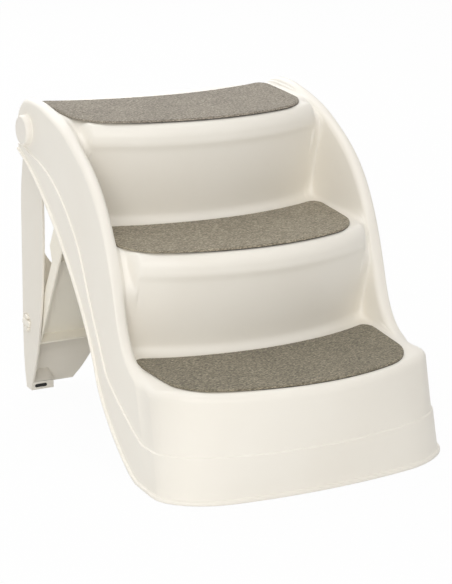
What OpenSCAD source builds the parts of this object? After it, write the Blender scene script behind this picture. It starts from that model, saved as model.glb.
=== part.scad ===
/* [Stairs] */
// Width across the bottom bead
overall_w = 394; // [340:1:440]
// Height of the first tread above the floor
first_rise = 127; // [115:1:140]
// Height of each later step
rise = 130; // [115:1:140]
// Distance from one nosing to the next
going = 135; // [125:1:145]
// Depth of the top tread at the centre line
top_depth = 199; // [190:1:210]
// Radius of the bow of the steps, seen from above
bow_r = 320; // [280:5:420]
// Wall thickness of the three mouldings
wall = 3; // [2.4:0.1:3.6]

/* [Nosings] */
// Radius over the nosings of the two upper steps
nose_r = 17; // [13:0.5:19]
// Height of the nosing down to where it turns inward
lip_h = 21; // [20:0.5:26]
// Height of the soft turn under the nosing
lip_run = 16; // [12:0.5:20]
// How far the top of the riser stands back under the nosing
lip_set = 4.5; // [3:0.5:7]
// How far the foot of the riser stands back from the nosing
overhang = 24; // [20:1:28]
// Radius at the foot of each riser
foot_r = 11; // [8:0.5:13]
// Radius over the front edge of the bottom step
front_r = 12; // [8:0.5:14]

/* [Wings] */
// Radius of the rounded crest of each wing
crest_r = 8; // [7:0.5:9]
// Distance from the crest to the widest line of the bead
crest_set = 16.5; // [15:0.5:20]
// Radius of the round end of each wing
wing_r = 40; // [34:1:44]
// Height of the crest above the top tread
wing_lift = 11; // [8:0.5:14]
// How far the side edge of the bottom step falls below its tread
crest_drop = 5; // [3:0.5:6]
// Radius over the side edge of the bottom step
side_r = 15; // [12:0.5:18]
// Radius between each riser and the wing
corner_r = 18; // [12:1:20]
// Radius of the rounded front corners of the bottom step, seen from above
front_corner_r = 56; // [46:1:62]

/* [Skirt] */
// Radius of the bow of the front at the floor
base_bow_r = 850; // [650:10:1200]
// Width of the rounded front corners at the floor
base_corner_w = 76; // [60:1:90]
// Depth of the rounded front corners at the floor
base_corner_d = 40; // [30:1:50]
// Height of the skirt band at the front
band_h = 54; // [44:1:64]
// Width of the skirt band along the sides
band_w = 33; // [26:1:40]
// Step of the skirt band
band_step = 2; // [1:0.25:3]
// Width of the bead along the lower edge
bead = 3; // [2:0.25:4]
// Height of the bead
bead_h = 4; // [3:0.25:6]

/* [Mats] */
// Gap between each mat and the curve of the wing
mat_gap = 1; // [0.5:0.5:8]
// Thickness of the carpet
mat_t = 2.6; // [1.5:0.1:4]
// Thickness of the backing
backing_t = 0.8; // [0.5:0.1:1.5]
// Border in front of each mat
mat_border = 11; // [9:0.5:16]
// Depth of the rounded front corners
mat_front_r = 40; // [24:1:44]
// Depth of the rounded rear corners
mat_rear_r = 13; // [8:1:18]
// Distance from the foot of each riser forward to its mat
mat_rear_gap = 16; // [14:1:24]
// Distance from the rear edge of the top tread forward to its mat
mat_back_gap = 40; // [30:1:60]

/* [Leg] */
// Gap between the leg and the wing on each side
leg_gap = 4.5; // [3.5:0.25:6]
// Depth of the leg's side walls at mid height
leg_deep = 75; // [60:1:80]
// Height of the window in the leg
window_h = 160; // [120:2:170]
// Height of the middle of the window
window_z = 217; // [205:1:225]
// Height of the arch between the feet
arch_h = 56; // [40:1:64]
// Width of each foot
foot_w = 32; // [26:1:40]
// Depth of each foot
foot_d = 17; // [15:0.5:24]

/* [Brace] */
// Height of the brace's pivot
brace_z = 92; // [84:1:100]
// Distance from the back of the leg to the brace's pivot
brace_in = 14.5; // [14:0.5:18]
// Angle of the brace from upright
brace_tilt = 28; // [26:0.5:30]
// Length of the brace above its pivot
brace_len = 236; // [220:1:240]
// Distance from the brace's pivot to its front edge
brace_reach = 37; // [33:0.5:39]
// Depth of the brace's lower side walls
brace_deep = 18; // [14:0.5:20]
// Depth of the brace's ears
ear_deep = 33; // [28:0.5:34]
// Gap between the brace and the leg on each side
brace_gap = 1.5; // [1:0.25:2.5]

/* [Pivots] */
// Radius of the top pivot pins
pin_r = 6; // [4.5:0.25:7]
// Radius of the brace's pins
brace_pin_r = 5; // [3.5:0.25:6]
// Running clearance of a pin in its bore
run_gap = 0.06; // [0.03:0.01:0.1]
// Radius of the caps
cap_r = 19.5; // [18:0.5:22]
// Radius of the face of the caps
cap_face_r = 16.5; // [14:0.5:17]
// How far the caps stand out
cap_t = 7.5; // [6:0.5:9]
// Radius of the round dish on the leg
dish_r = 13; // [11:0.5:14]

/* [Feet] */
// Length of the slot in the leg's foot
foot_slot_w = 17; // [12:0.5:20]
// Height of the slot in the leg's foot
foot_slot_h = 4.5; // [3.5:0.25:6]

/* [Hidden] */

// Colours
cream = [0.92, 0.90, 0.85];
taupe = [0.55, 0.52, 0.46];
dark = [0.24, 0.22, 0.20];
black = [0.08, 0.08, 0.08];
steel = [0.75, 0.76, 0.78];

// Distance from the front of the bead back to the first nosing
nose_in = 8;
// Distance from the back of the wing forward to the end of the top tread
rear_in = 13;
// Draft of the inner face of each wing
wall_draft = 2;
// Least depth of a tread's foot below the crest
tread_turn = 1.5;
// Angles of the wing's round end: where the sweep leaves it, and its rows behind the tread
crest_top_dir = 8;
back_first = 32;
back_turn = 27;
back_end = 112;
// Overrun of the cuts
over = 1;

half_w = overall_w / 2;
crest_x = half_w - crest_set;
wall_x = crest_x - crest_r - wall_draft;
depth = nose_in + 2 * going + top_depth + rear_in;
front_y = nose_in - depth / 2;
rear_y = depth / 2 - rear_in;
pivot_y = depth / 2 - wing_r;
tread_z = [for (i = [0 : 2]) first_rise + i * rise];
nose_y = [for (i = [0 : 2]) front_y + i * going];
pivot_z = tread_z[2] + wing_lift - wing_r;

// Height and place of a point, seen along and across the line through the nosings
slope = atan(rise / going);
function along(p) = p[0] * cos(slope) + p[1] * sin(slope);
function above(p) = p[1] * cos(slope) - p[0] * sin(slope);
function place(s, n) = [s * cos(slope) - n * sin(slope), s * sin(slope) + n * cos(slope)];

function lerp(a, b, t) = a + (b - a) * t;
function clamp(v, lo, hi) = min(max(v, lo), hi);
function unit(v) = v / norm(v);
function ease(t) = (1 - cos(180 * clamp(t, 0, 1))) / 2;
function bezier(p, t) =
    p[0] * pow(1 - t, 3) + p[1] * 3 * t * pow(1 - t, 2) + p[2] * 3 * t * t * (1 - t) + p[3] * pow(t, 3);
// Curve from a to b that leaves and arrives at the given slopes
function sweep(a, a_dir, a_len, b, b_dir, b_len) =
    [a, a + a_len * [cos(a_dir), sin(a_dir)], b - b_len * [cos(b_dir), sin(b_dir)], b];

// Plan of the bow and of the rounded front corner
function bow(x) = bow_r - sqrt(bow_r * bow_r - x * x);
corner_mid_x = crest_x - front_corner_r;
corner_mid_y = bow_r - sqrt(pow(bow_r - front_corner_r, 2) - pow(corner_mid_x, 2));
corner_x = corner_mid_x * bow_r / (bow_r - front_corner_r);
corner_d = corner_mid_y - bow(wall_x);
function corner_t(x) = clamp((abs(x) - corner_x) / (crest_x - corner_x), 0, 1);
function corner_part(x) = clamp((abs(x) - corner_mid_x) / front_corner_r, 0, 1);
function corner_y(x) = abs(x) <= corner_x ? 0
    : (corner_mid_y - front_corner_r * sqrt(1 - pow(corner_part(x), 2)) - bow(min(abs(x), wall_x))) / corner_d;

// Centre line of one step, from the start of its foot fillet to the top of its nosing
riser_rise = rise - lip_h - lip_run;
lean = atan((overhang - lip_set) / riser_rise);
foot_run = foot_r * tan((90 + lean) / 2);
function riser_point(i, up) = [nose_y[i] + overhang - up * sin(lean), tread_z[i - 1] + up * cos(lean)];
riser_len = riser_rise / cos(lean);
function foot_arc(i, a) =
    [nose_y[i] + overhang - foot_run, tread_z[i - 1] + foot_r] + foot_r * [cos(a), sin(a)];
function under_lip(i, t) = bezier([
    riser_point(i, riser_len),
    riser_point(i, riser_len) + lip_run / 2 * [-sin(lean), cos(lean)],
    [nose_y[i], tread_z[i] - lip_h - lip_run / 2],
    [nose_y[i], tread_z[i] - lip_h]
], t);
function nose_arc(i, a) =
    [nose_y[i] + nose_r, tread_z[i] - nose_r] + nose_r * [-cos(a), sin(a)];

// Crest of a wing, seen from the side: the round end, the long sweep and the turn onto the bottom step
pivot = [pivot_y, pivot_z];
function round_end(a) = pivot + wing_r * [sin(a), cos(a)];
crest_mid_dir = 73;
crest_mid = [front_y + 1.311 * going, first_rise + 0.515 * rise];
crest_low = [front_y + 0.74 * going, first_rise - crest_drop];
crest_upper = sweep(crest_mid, crest_mid_dir, 1.06 * rise, round_end(-crest_top_dir), crest_top_dir, 1.3 * going);
crest_lower = sweep(crest_low, 0, 0.37 * going, crest_mid, crest_mid_dir, 0.29 * rise);
function find(curve, key, value, lo = 0, hi = 1, n = 18) =
    let (mid = (lo + hi) / 2)
    n == 0 ? bezier(curve, mid)
    : bezier(curve, mid) * key < value ? find(curve, key, value, mid, hi, n - 1)
    : find(curve, key, value, lo, mid, n - 1);
line_key = [cos(slope), sin(slope)];
function crest_at(s) = find(s > along(crest_mid) ? crest_upper : crest_lower, line_key, s);
function crest_z(y) = y <= crest_low[0] ? crest_low[1] : find(crest_lower, [1, 0], y)[1];

// Rows of the moulding from front to back: place on the centre line, share of the bow,
// kind of row, its value, fillet beside the wing, start of the turn into the wing, least depth below the crest
front_top = [front_y + front_r, first_rise];
bottom_shares = [0, 0.02, 0.06, 0.11, 0.26, 0.45, 0.65, 0.84];
corner_shares = [0.84, 0.93, 0.98, 1, 1, 1];
drop_shares = [0, 0.25, 0.7, 1];
corner_rows = 6;
tread_fillet = corner_r * 0.4;
lip_turn = crest_r * 0.8;
turn_x = wall_x - 1.45 * corner_r;
late_turn_x = wall_x - 1.1 * corner_r;
flat_run = nose_y[1] + overhang - foot_run - front_top[0];
corner_reach = bottom_shares[corner_rows] - bottom_shares[3];

function row(p, f = 1, kind = 1, value = 0, fillet = tread_fillet, turn = late_turn_x, keep = tread_turn) =
    [p[0], p[1], f, kind, value, fillet, turn, keep];
function side_place(p) = p + [bow(wall_x), 0];
function lip_row(i, p, j, fillet) =
    let (
        s0 = along(side_place(riser_point(i, riser_len))) - lip_run / 4,
        s1 = along(side_place(nose_arc(i, 90)))
    )
    row(p, 1, 2, lerp(s0, s1, j / 8), fillet, turn_x, lip_turn);
function step_rows(i) = concat(
    [row(foot_arc(i, -90))],
    [row(foot_arc(i, -45 + lean / 2), fillet = lerp(tread_fillet, corner_r, 0.6), turn = turn_x)],
    [row(foot_arc(i, lean), fillet = corner_r, turn = turn_x)],
    [row(riser_point(i, lerp(foot_run, riser_len, 0.5)), fillet = corner_r, turn = turn_x)],
    [for (j = [0 : 2]) lip_row(i, under_lip(i, j / 3), j, lerp(corner_r, tread_fillet, j / 3))],
    [lip_row(i, under_lip(i, 1), 3, tread_fillet)],
    [for (j = [0 : 4]) lip_row(i, nose_arc(i, j * 22.5), 4 + j, tread_fillet)]
);
back_lip = 1.7 * wall;
back_drop = wall * 5;
top_start = nose_y[2] + nose_r;
top_run = rear_y - back_lip - top_start;
function back_row(p, f, a) = row(p, f, 3, a);
rows = concat(
    [for (k = [0 : len(bottom_shares) - 1])
        row(front_top + [flat_run * bottom_shares[k], 0], 1, k < corner_rows ? 0 : 1, k, keep = -rise)],
    step_rows(1),
    [for (t = [0.2, 0.5, 0.8])
        row([lerp(nose_y[1] + nose_r, nose_y[2] + overhang - foot_run, t), tread_z[1]])],
    step_rows(2),
    [for (t = [0.12, 0.3, 0.48, 0.64, 0.79]) row([top_start + top_run * t, tread_z[2]], 1 - t)],
    [back_row([top_start + top_run * 0.91, tread_z[2]], 0.09, crest_top_dir / 2)],
    [for (j = [0 : 2])
        back_row([rear_y - back_lip + back_lip * sin(45 * j), tread_z[2] - back_lip + back_lip * cos(45 * j)],
            0, back_first + back_turn * j)],
    [back_row([rear_y, tread_z[2] - back_drop], 0, back_end)]
);
row_count = len(rows);

// Foot and crest of the wing on one row, seen from the side
function corner_amount(k) =
    let (run = flat_run * bottom_shares[k], t = corner_shares[k])
    t < 1 ? corner_d - run / corner_y(lerp(corner_x, crest_x, t))
    : (corner_d - flat_run * bottom_shares[3])
        * (1 - (bottom_shares[k] - bottom_shares[3]) / corner_reach);
function wing_pair(r) =
    let (p = [r[0] + r[2] * bow(wall_x), r[1]])
    r[3] == 0 ?
        let (
            k = r[4],
            end = corner_shares[k],
            y = p[0] + corner_amount(k) * corner_y(lerp(corner_x, crest_x, end)),
            z = k < 3 ? first_rise - crest_drop * drop_shares[k] : crest_z(y)
        )
        [p, [p[0], z]]
    : r[3] == 3 ? [p, round_end(r[4])]
    : let (
        s = r[3] == 2 ? r[4] : along(p),
        crest = s > along(round_end(-crest_top_dir)) ? round_end(-crest_top_dir) : crest_at(s)
    )
    [place(s, min(above(p), above(crest) - r[7])), crest];

// Edge of the bottom step: its turn at the crest line, and its shape across
edge_w = crest_x - wall_x + tread_fillet;
edge_turn = 2 * atan(crest_drop / edge_w);
function edge_fall(w) = (1 - sqrt(1 - pow(sin(edge_turn) * clamp(w, 0, 1), 2))) / (1 - cos(edge_turn));

// Columns across the moulding
flat_shares = [0, 0.3, 0.58, 0.83, 1];
turn_shares = [0.28, 0.55, 0.8, 1];
cols = 16;
function column(r, pair, c) =
    let (
        foot = pair[0],
        rise_v = pair[1] - pair[0],
        h = norm(rise_v),
        dir = h > 0 ? rise_v / h : [0, 1],
        falling = dir[1] < 0,
        corner_row = r[3] == 0,
        end_t = corner_row ? corner_shares[r[4]] : 1,
        amount = corner_row ? corner_amount(r[4]) : 0,
        flat_end = min(r[6], corner_x - wall),
        start_x = wall_x - r[5],
        fillet_h = min(r[5], 0.45 * h),
        roll_h = min(crest_r, 0.45 * h),
        a = c < 12 ? (c - 8) * 30 : (c - 12) * 30,
        x0 = c < 5 ? flat_end * flat_shares[c]
            : c < 9 ? lerp(flat_end, start_x, turn_shares[c - 5])
            : c < 12 ? start_x + r[5] * sin(a)
            : crest_x - crest_r * cos(a),
        x = x0 <= corner_x ? x0 : corner_x + (x0 - corner_x) * end_t,
        up = c < 9 ? 0
            : falling ? h * edge_fall((x0 - start_x) / (crest_x - start_x))
            : c < 12 ? fillet_h * (1 - cos(a))
            : h - roll_h + roll_h * sin(a),
        straight = [r[0] + r[2] * bow(min(x, wall_x)) + amount * corner_y(x), r[1]],
        turn = foot - [r[0] + r[2] * bow(wall_x), r[1]],
        part = clamp((x0 - flat_end) / (start_x - flat_end), 0, 1),
        share = r[3] == 2 ? part * part : ease(part),
        q = straight + turn * share + dir * up
    )
    [x, q[0], q[1]];
half_grid = [for (r = rows) let (pair = wing_pair(r)) [for (c = [0 : cols - 1]) column(r, pair, c)]];
function mirrored(p) = [-p[0], p[1], p[2]];
grid = [for (r = half_grid) concat([for (c = [cols - 1 : -1 : 1]) mirrored(r[c])], r)];
grid_cols = 2 * cols - 1;

// Lower edge of the outer wall, without its bead: the ground line and the rim that climbs to the pivot
base_half = half_w - bead;
base_front = front_y - nose_in + bead;
base_corner_x = base_half - base_corner_w;
function base_y(x) =
    let (t = clamp((x - base_corner_x) / (base_half - base_corner_x), 0, 1))
    base_front + base_bow_r - sqrt(base_bow_r * base_bow_r - x * x) + base_corner_d * (1 - sqrt(1 - t * t));
rim_mid = [front_y + 1.6 * going, 0.74 * rise];
rim_low = [front_y + 0.756 * going, 0];
rim_top = [pivot_y + 0.78 * wing_r, pivot_z - 0.6 * wing_r];
rim_upper = sweep(rim_mid, 68, 0.73 * rise, rim_top, 15, 0.69 * going);
rim_lower = sweep(rim_low, 12, 0.27 * going, rim_mid, 68, 0.28 * rise);
rim_steps = 12;
rim_end_share = 0.95;
rim_path = concat(
    [[base_y(base_half), 0]],
    [for (i = [0 : rim_steps - 1]) bezier(rim_lower, i / rim_steps)],
    [for (i = [0 : rim_steps]) bezier(rim_upper, rim_end_share * i / rim_steps)]
);
function lengths(p) = [for (i = 0, c = 0; i < len(p); c = c + norm(p[min(i + 1, len(p) - 1)] - p[i]), i = i + 1) c];
rim_lengths = lengths(rim_path);
rim_total = rim_lengths[len(rim_path) - 1];
rim_ys = [for (i = [0 : len(rim_path) - 1]) [rim_lengths[i] / rim_total, rim_path[i][0]]];
rim_zs = [for (i = [0 : len(rim_path) - 1]) [rim_lengths[i] / rim_total, rim_path[i][1]]];
function rim_at(t) = [lookup(t, rim_ys), lookup(t, rim_zs)];

// Points of the crest in order, from the left rear round the front to the right rear
first_side = 3;
side_crest = [for (v = [first_side : row_count - 1]) let (p = grid[v][grid_cols - 1]) [p[1], p[2]]];
side_lengths = lengths(side_crest);
side_total = side_lengths[len(side_crest) - 1];
base_shares = [0.965, 0.98, 0.992];
corner_base = base_half * base_shares[0];
front_end_x = half_grid[0][cols - 1][0];
function front_base(x) = let (b = x * corner_base / front_end_x) [b, base_y(abs(b)), 0];
function side_base(v) =
    v < first_side ? let (x = base_half * base_shares[v]) [x, base_y(x), 0]
    : let (p = rim_at(side_lengths[v - first_side] / side_total)) [base_half, p[0], p[1]];
function crest_out(x, t) =
    t >= 1 ? [1, 0, 0]
    : let (side = t > 0 ? corner_part(x) : x / bow_r)
    [side, -sqrt(1 - side * side), 0];
// One entry for each crest point: place, outward direction, base point, share of the way round the corner
function front_entry(x, p) =
    let (o = crest_out(abs(x), corner_t(x)))
    [p, [x < 0 ? -o[0] : o[0], o[1], 0], front_base(x), corner_t(x)];
function side_entry(v) =
    let (p = half_grid[v][cols - 1], t = v < first_side ? corner_shares[v] : 1)
    [p, crest_out(p[0], t), side_base(v), t];
function flip(e) = [mirrored(e[0]), mirrored(e[1]), mirrored(e[2]), e[3]];
loop = concat(
    [for (v = [row_count - 1 : -1 : 0]) flip(side_entry(v))],
    [for (c = [1 : grid_cols - 2]) front_entry(grid[0][c][0], grid[0][c])],
    [for (v = [0 : row_count - 1]) side_entry(v)]
);
loop_count = len(loop);
ledge_h = 5;
skirt_rows = 9;
function skirt_point(e, j) =
    let (
        v = e[2] - e[0],
        out = v * e[1],
        rest = v - e[1] * out,
        run = norm(rest),
        low_share = clamp((first_rise - e[0][2]) / crest_drop, 0, 1),
        start = edge_turn * low_share,
        r = min(lerp(lerp(front_r, crest_r, e[3]), side_r, low_share), 0.8 * out, 0.6 * run),
        roll_out = r * (1 - sin(start)),
        roll_down = r * cos(start),
        free = run - roll_down,
        band = min(band_w + (band_h - band_w) * (1 - clamp((e[0][2] - first_rise) / rise * 4, 0, 1)), 0.5 * free),
        ledge = min(ledge_h, 0.15 * free),
        low = min(bead_h, 0.2 * free),
        turn = lerp(start, 90, min(j, 3) / 3),
        downs = [0, 0, roll_down, lerp(roll_down, run - band - ledge, 0.5), run - band - ledge,
            run - band, run - low * 1.25, run - low, run],
        down = j < 3 ? r * (cos(start) - cos(turn)) : downs[j - 1],
        flat_out = lerp(roll_out, out - band_step, clamp((down - roll_down) / max(free, over), 0, 1)),
        o = j <= 3 ? r * (sin(turn) - sin(start)) : flat_out + (j > 5 ? band_step : 0)
    )
    e[0] + e[1] * o + rest * down / run;
skirt = [for (j = [1 : skirt_rows]) [for (e = loop) skirt_point(e, j)]];

// All points of the outer side, numbered row by row
grid_n = row_count * grid_cols;
side_n = grid_n + skirt_rows * loop_count;
core = concat([for (r = grid) each r], [for (r = skirt) each r]);
function grid_id(v, c) = v * grid_cols + c;
function loop_id(k) =
    k < row_count ? grid_id(row_count - 1 - k, 0)
    : k < row_count + grid_cols - 2 ? grid_id(0, k - row_count + 1)
    : grid_id(k - row_count - grid_cols + 2, grid_cols - 1);
function skirt_id(j, k) = j == 0 ? loop_id(k) : grid_n + (j - 1) * loop_count + k;
function facing(a, b) = unit(cross(a, b));
function grid_normal(v, c) =
    let (
        left = c > 0 ? core[grid_id(v, c - 1)] : core[skirt_id(1, row_count - 1 - v)],
        right = c < grid_cols - 1 ? core[grid_id(v, c + 1)] : core[skirt_id(1, row_count + grid_cols - 2 + v)],
        back = core[grid_id(min(v + 1, row_count - 1), c)],
        front = v > 0 ? core[grid_id(v - 1, c)] : core[skirt_id(1, row_count - 1 + c)]
    )
    facing(right - left, back - front);
function skirt_normal(j, k) =
    let (
        before = core[skirt_id(j, max(k - 1, 0))],
        after = core[skirt_id(j, min(k + 1, loop_count - 1))],
        top = core[skirt_id(j - 1, k)],
        low = core[skirt_id(min(j + 1, skirt_rows), k)],
        n = facing(low - top, after - before)
    )
    j < skirt_rows - 2 ? n : unit([n[0], n[1], 0]);
normals = concat(
    [for (v = [0 : row_count - 1]) for (c = [0 : grid_cols - 1]) grid_normal(v, c)],
    [for (j = [1 : skirt_rows]) for (k = [0 : loop_count - 1]) skirt_normal(j, k)]
);
bead_start = grid_n + (skirt_rows - 2) * loop_count;
outer_points = [for (i = [0 : side_n - 1])
    i < bead_start ? core[i] : core[i] + bead * loop[(i - grid_n) % loop_count][1]];
inner_points = [for (i = [0 : side_n - 1]) core[i] - wall * normals[i]];

function halves(a, b, c, d, swap) = swap ? [[a, b, c], [a, c, d]] : [[a, b, d], [b, c, d]];
outer_faces = concat(
    [for (v = [0 : row_count - 2]) for (c = [0 : grid_cols - 2])
        each halves(grid_id(v, c), grid_id(v + 1, c), grid_id(v + 1, c + 1), grid_id(v, c + 1), c < cols - 1)],
    [for (j = [0 : skirt_rows - 1]) for (k = [0 : loop_count - 2])
        each halves(skirt_id(j, k), skirt_id(j, k + 1), skirt_id(j + 1, k + 1), skirt_id(j + 1, k), k >= loop_count / 2 - 1)]
);
edge = concat(
    [for (k = [0 : loop_count - 1]) skirt_id(skirt_rows, k)],
    [for (j = [skirt_rows - 1 : -1 : 0]) skirt_id(j, loop_count - 1)],
    [for (c = [grid_cols - 2 : -1 : 0]) grid_id(row_count - 1, c)],
    [for (j = [1 : skirt_rows - 1]) skirt_id(j, 0)]
);
edge_n = len(edge);
shell_faces = concat(
    outer_faces,
    [for (f = outer_faces) [f[0] + side_n, f[2] + side_n, f[1] + side_n]],
    [for (i = [0 : edge_n - 1])
        let (a = edge[i], b = edge[(i + 1) % edge_n])
        each [[a, b, b + side_n], [a, b + side_n, a + side_n]]]
);

module shell_wall() {
    polyhedron(concat(outer_points, inner_points), shell_faces);
}

// Seats of the caps, and the pivot across the object
seat_x = half_w - 2 * bead;
leg_half = seat_x - wall - leg_gap;
side_play = 0.5;
pivot_boss_r = 14;
hub_r = 12;
hub_t = 3.5;
ear_r = wing_r / 2;
clip_t = 2.2;
clip_r = 1.7 * pin_r;
module across(p, x0, x1) {
    translate([x0, p[0], p[1]]) rotate([90, 0, 90]) linear_extrude(x1 - x0) children();
}
module rod(p, x0, x1, r) {
    translate([x0, p[0], p[1]]) rotate([0, 90, 0]) cylinder(r = r, h = x1 - x0, $fn = 64);
}
module both() {
    children();
    mirror([1, 0, 0]) children();
}

// Brace: place of a point from its distance forward of the pivot and its height along the brace
brace_pivot = [depth / 2 - brace_in, brace_z];
function brace_place(w, u) = brace_pivot
    + u * [-sin(brace_tilt), cos(brace_tilt)] - w * [cos(brace_tilt), sin(brace_tilt)];

// Front of the brace at its top, where it draws back behind the riser
brace_tip = brace_reach - ear_deep + 4 * wall;
taper_from = 0.72 * brace_len;

// Catch ribs behind the top riser, with a notch for the top of the brace
catch_x = 45;
catch_deep = 7;
catch_h = 10;
catch_top = tread_z[2] - wall / 2;
function riser_back(z) = nose_y[2] + overhang - (z - tread_z[1]) * tan(lean) + bow(catch_x) + wall / 2;
riser_top = tread_z[2] - lip_h - lip_run;
catch_outline = [
    brace_place(brace_tip - catch_deep, brace_len - wall - side_play - catch_h),
    brace_place(brace_tip - catch_deep, brace_len - wall - side_play),
    brace_place(brace_tip + wall / 2, brace_len - wall - side_play),
    brace_place(brace_tip + wall / 2, brace_len + catch_h),
    [brace_place(brace_tip + wall / 2, brace_len + catch_h)[0], catch_top],
    [nose_y[2] + nose_r + bow(catch_x), catch_top],
    [riser_back(riser_top), riser_top],
    [riser_back(tread_z[1] + foot_r), tread_z[1] + foot_r]
];

module stair_shell() {
    color(cream)
    difference() {
        union() {
            shell_wall();
            both() {
                rod(pivot, seat_x - wall, seat_x, cap_r + over);
                rod(pivot, leg_half + side_play, seat_x - wall / 2, pivot_boss_r);
                across([0, 0], catch_x, catch_x + wall) polygon(catch_outline);
            }
        }
        both() {
            rod(pivot, leg_half, seat_x + over, pin_r + run_gap);
            rod(pivot, seat_x, half_w + over, cap_r + side_play);
        }
    }
}

// Mats: outline from the front edge's middle, with both halves
mat_half_w = wall_x - tread_fillet - mat_gap;
mat_bow_share = 0.78;
mat_taper = 8;
arc_steps = 6;
function mat_front_x(half) = half - mat_taper;
function mat_half(y0, y1, half) =
    let (xe = mat_front_x(half), xs = xe - 1.15 * mat_front_r, rs = half - mat_rear_r)
    concat(
        [for (i = [0 : arc_steps]) let (x = xs * i / arc_steps) [x, y0 + bow(x)]],
        [for (i = [1 : arc_steps]) let (a = 90 * i / arc_steps, x = xs + (xe - xs) * sin(a))
            [x, y0 + bow(x) + mat_front_r * (1 - cos(a))]],
        [for (i = [0 : arc_steps]) let (a = 90 * i / arc_steps, x = rs + mat_rear_r * cos(a))
            [x, y1 + mat_bow_share * bow(rs) - mat_rear_r * (1 - sin(a))]],
        [for (i = [arc_steps - 1 : -1 : 0]) let (x = rs * i / arc_steps) [x, y1 + mat_bow_share * bow(x)]]
    );
function mat_outline(y0, y1, half) =
    let (h = mat_half(y0, y1, half), n = len(h))
    concat(h, [for (i = [n - 2 : -1 : 1]) [-h[i][0], h[i][1]]]);
mat_rears = [nose_y[1] + overhang - mat_rear_gap, nose_y[2] + overhang - mat_rear_gap, rear_y - mat_back_gap];
module mat_plate(i, z, t) {
    translate([0, 0, tread_z[i] + z])
        linear_extrude(t) polygon(mat_outline(nose_y[i] + mat_border, mat_rears[i], mat_half_w));
}
module carpet(i) {
    color(taupe) mat_plate(i, backing_t, mat_t);
}
module backing(i) {
    color(dark) mat_plate(i, 0, backing_t);
}
module bottom_mat() { carpet(0); }
module middle_mat() { carpet(1); }
module top_mat() { carpet(2); }
module bottom_backing() { backing(0); }
module middle_backing() { backing(1); }
module top_backing() { backing(2); }

// Caps, pins and clip rings of the top pivots
pin_deep = cap_t / 2;
cap_edge = 1.5;
module cap() {
    color(cream)
    translate([seat_x, pivot[0], pivot[1]])
        rotate([0, 90, 0])
        rotate_extrude($fn = 64)
        polygon(concat(
            [[0, pin_deep], [pin_r + run_gap, pin_deep], [pin_r + run_gap, 0], [cap_r, 0], [cap_r, cap_edge]],
            [for (i = [0 : arc_steps]) let (a = 90 * i / arc_steps)
                [cap_face_r + (cap_r - cap_face_r) * (cos(a) * 0.9), cap_edge + (cap_t - cap_edge) * sin(a)]],
            [[0, cap_t]]
        ));
}
pin_in = leg_half - wall - hub_t - side_play - clip_t - over;
module pin() {
    color(steel) rod(pivot, pin_in, seat_x + pin_deep - side_play, pin_r);
}
module clip_ring() {
    x0 = pin_in + over;
    color(steel)
    difference() {
        rod(pivot, x0, x0 + clip_t, clip_r);
        rod(pivot, x0 - over, x0 + clip_t + over, pin_r + run_gap);
    }
}
module right_cap() { cap(); }
module left_cap() { mirror([1, 0, 0]) cap(); }
module right_pin() { pin(); }
module left_pin() { mirror([1, 0, 0]) pin(); }
module right_clip_ring() { clip_ring(); }
module left_clip_ring() { mirror([1, 0, 0]) clip_ring(); }

// Rear leg, seen from the side
leg_back_y = depth / 2;
panel_top = pivot_z - 0.7 * wing_r;
leg_curve_n = 8;
leg_low_z = 0.3 * pivot_z;
leg_high_z = 0.7 * pivot_z;
leg_mid_z = 0.45 * pivot_z;
toe_back = leg_back_y - 0.25 * wing_r;
toe_front = toe_back - foot_d;
leg_waist = leg_back_y - 0.92 * leg_deep;
leg_back_curve = concat(
    [for (i = [0 : leg_curve_n]) bezier([
        [pivot_y + ear_r, pivot_z],
        [pivot_y + 1.6 * ear_r, pivot_z - 1.1 * wing_r],
        [leg_back_y, leg_high_z + 0.75 * wing_r],
        [leg_back_y, leg_high_z]], i / leg_curve_n)],
    [for (i = [0 : leg_curve_n]) bezier([
        [leg_back_y, leg_low_z],
        [leg_back_y, 0.55 * leg_low_z],
        [toe_back + 0.22 * wing_r, 0.75 * wing_r],
        [toe_back, 0]], i / leg_curve_n)]
);
leg_front_curve = concat(
    [for (i = [0 : leg_curve_n]) bezier([
        [toe_front, 0.2 * wing_r],
        [toe_front - 0.5 * wing_r, 1.1 * wing_r],
        [leg_waist + 0.16 * wing_r, 0.65 * leg_mid_z],
        [leg_waist, leg_mid_z]], i / leg_curve_n)],
    [for (i = [1 : leg_curve_n]) bezier([
        [leg_waist, leg_mid_z],
        [leg_waist - 0.2 * wing_r, 1.43 * leg_mid_z],
        [pivot_y - 1.68 * ear_r, pivot_z - 1.26 * wing_r],
        [pivot_y - 0.9 * ear_r, pivot_z - 0.2 * wing_r]], i / leg_curve_n)]
);
leg_outline = concat(leg_back_curve, [[toe_front, 0]], leg_front_curve);
leg_room = concat(
    [[pivot_y + ear_r + wall, pivot_z + 2 * wing_r]],
    [for (p = leg_back_curve) p - [wall, 0]],
    [[toe_back - wall, -wing_r], [pivot_y - 3 * wing_r, -wing_r], [pivot_y - 3 * wing_r, pivot_z + 2 * wing_r]]
);
foot_h = 12;
foot_x = leg_half - foot_w;
foot_step = 4;
slot_z = 5.5;
slot_x = leg_half - 0.43 * foot_w;
arch_x = 0.64 * leg_half;
arch_top_x = 0.25 * leg_half;
arch_half = concat(
    [[0, -over], [foot_x, -over], [foot_x, foot_step], [arch_x, foot_step]],
    [for (i = [1 : leg_curve_n]) bezier([
        [arch_x, foot_step],
        [arch_x - 0.65 * arch_h, 0.55 * arch_h],
        [arch_top_x + 0.7 * arch_h, arch_h],
        [arch_top_x, arch_h]], i / leg_curve_n)],
    [[0, arch_h]]
);
module through(y0, y1) {
    translate([0, y1, 0]) rotate([90, 0, 0]) linear_extrude(y1 - y0) children();
}
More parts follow.
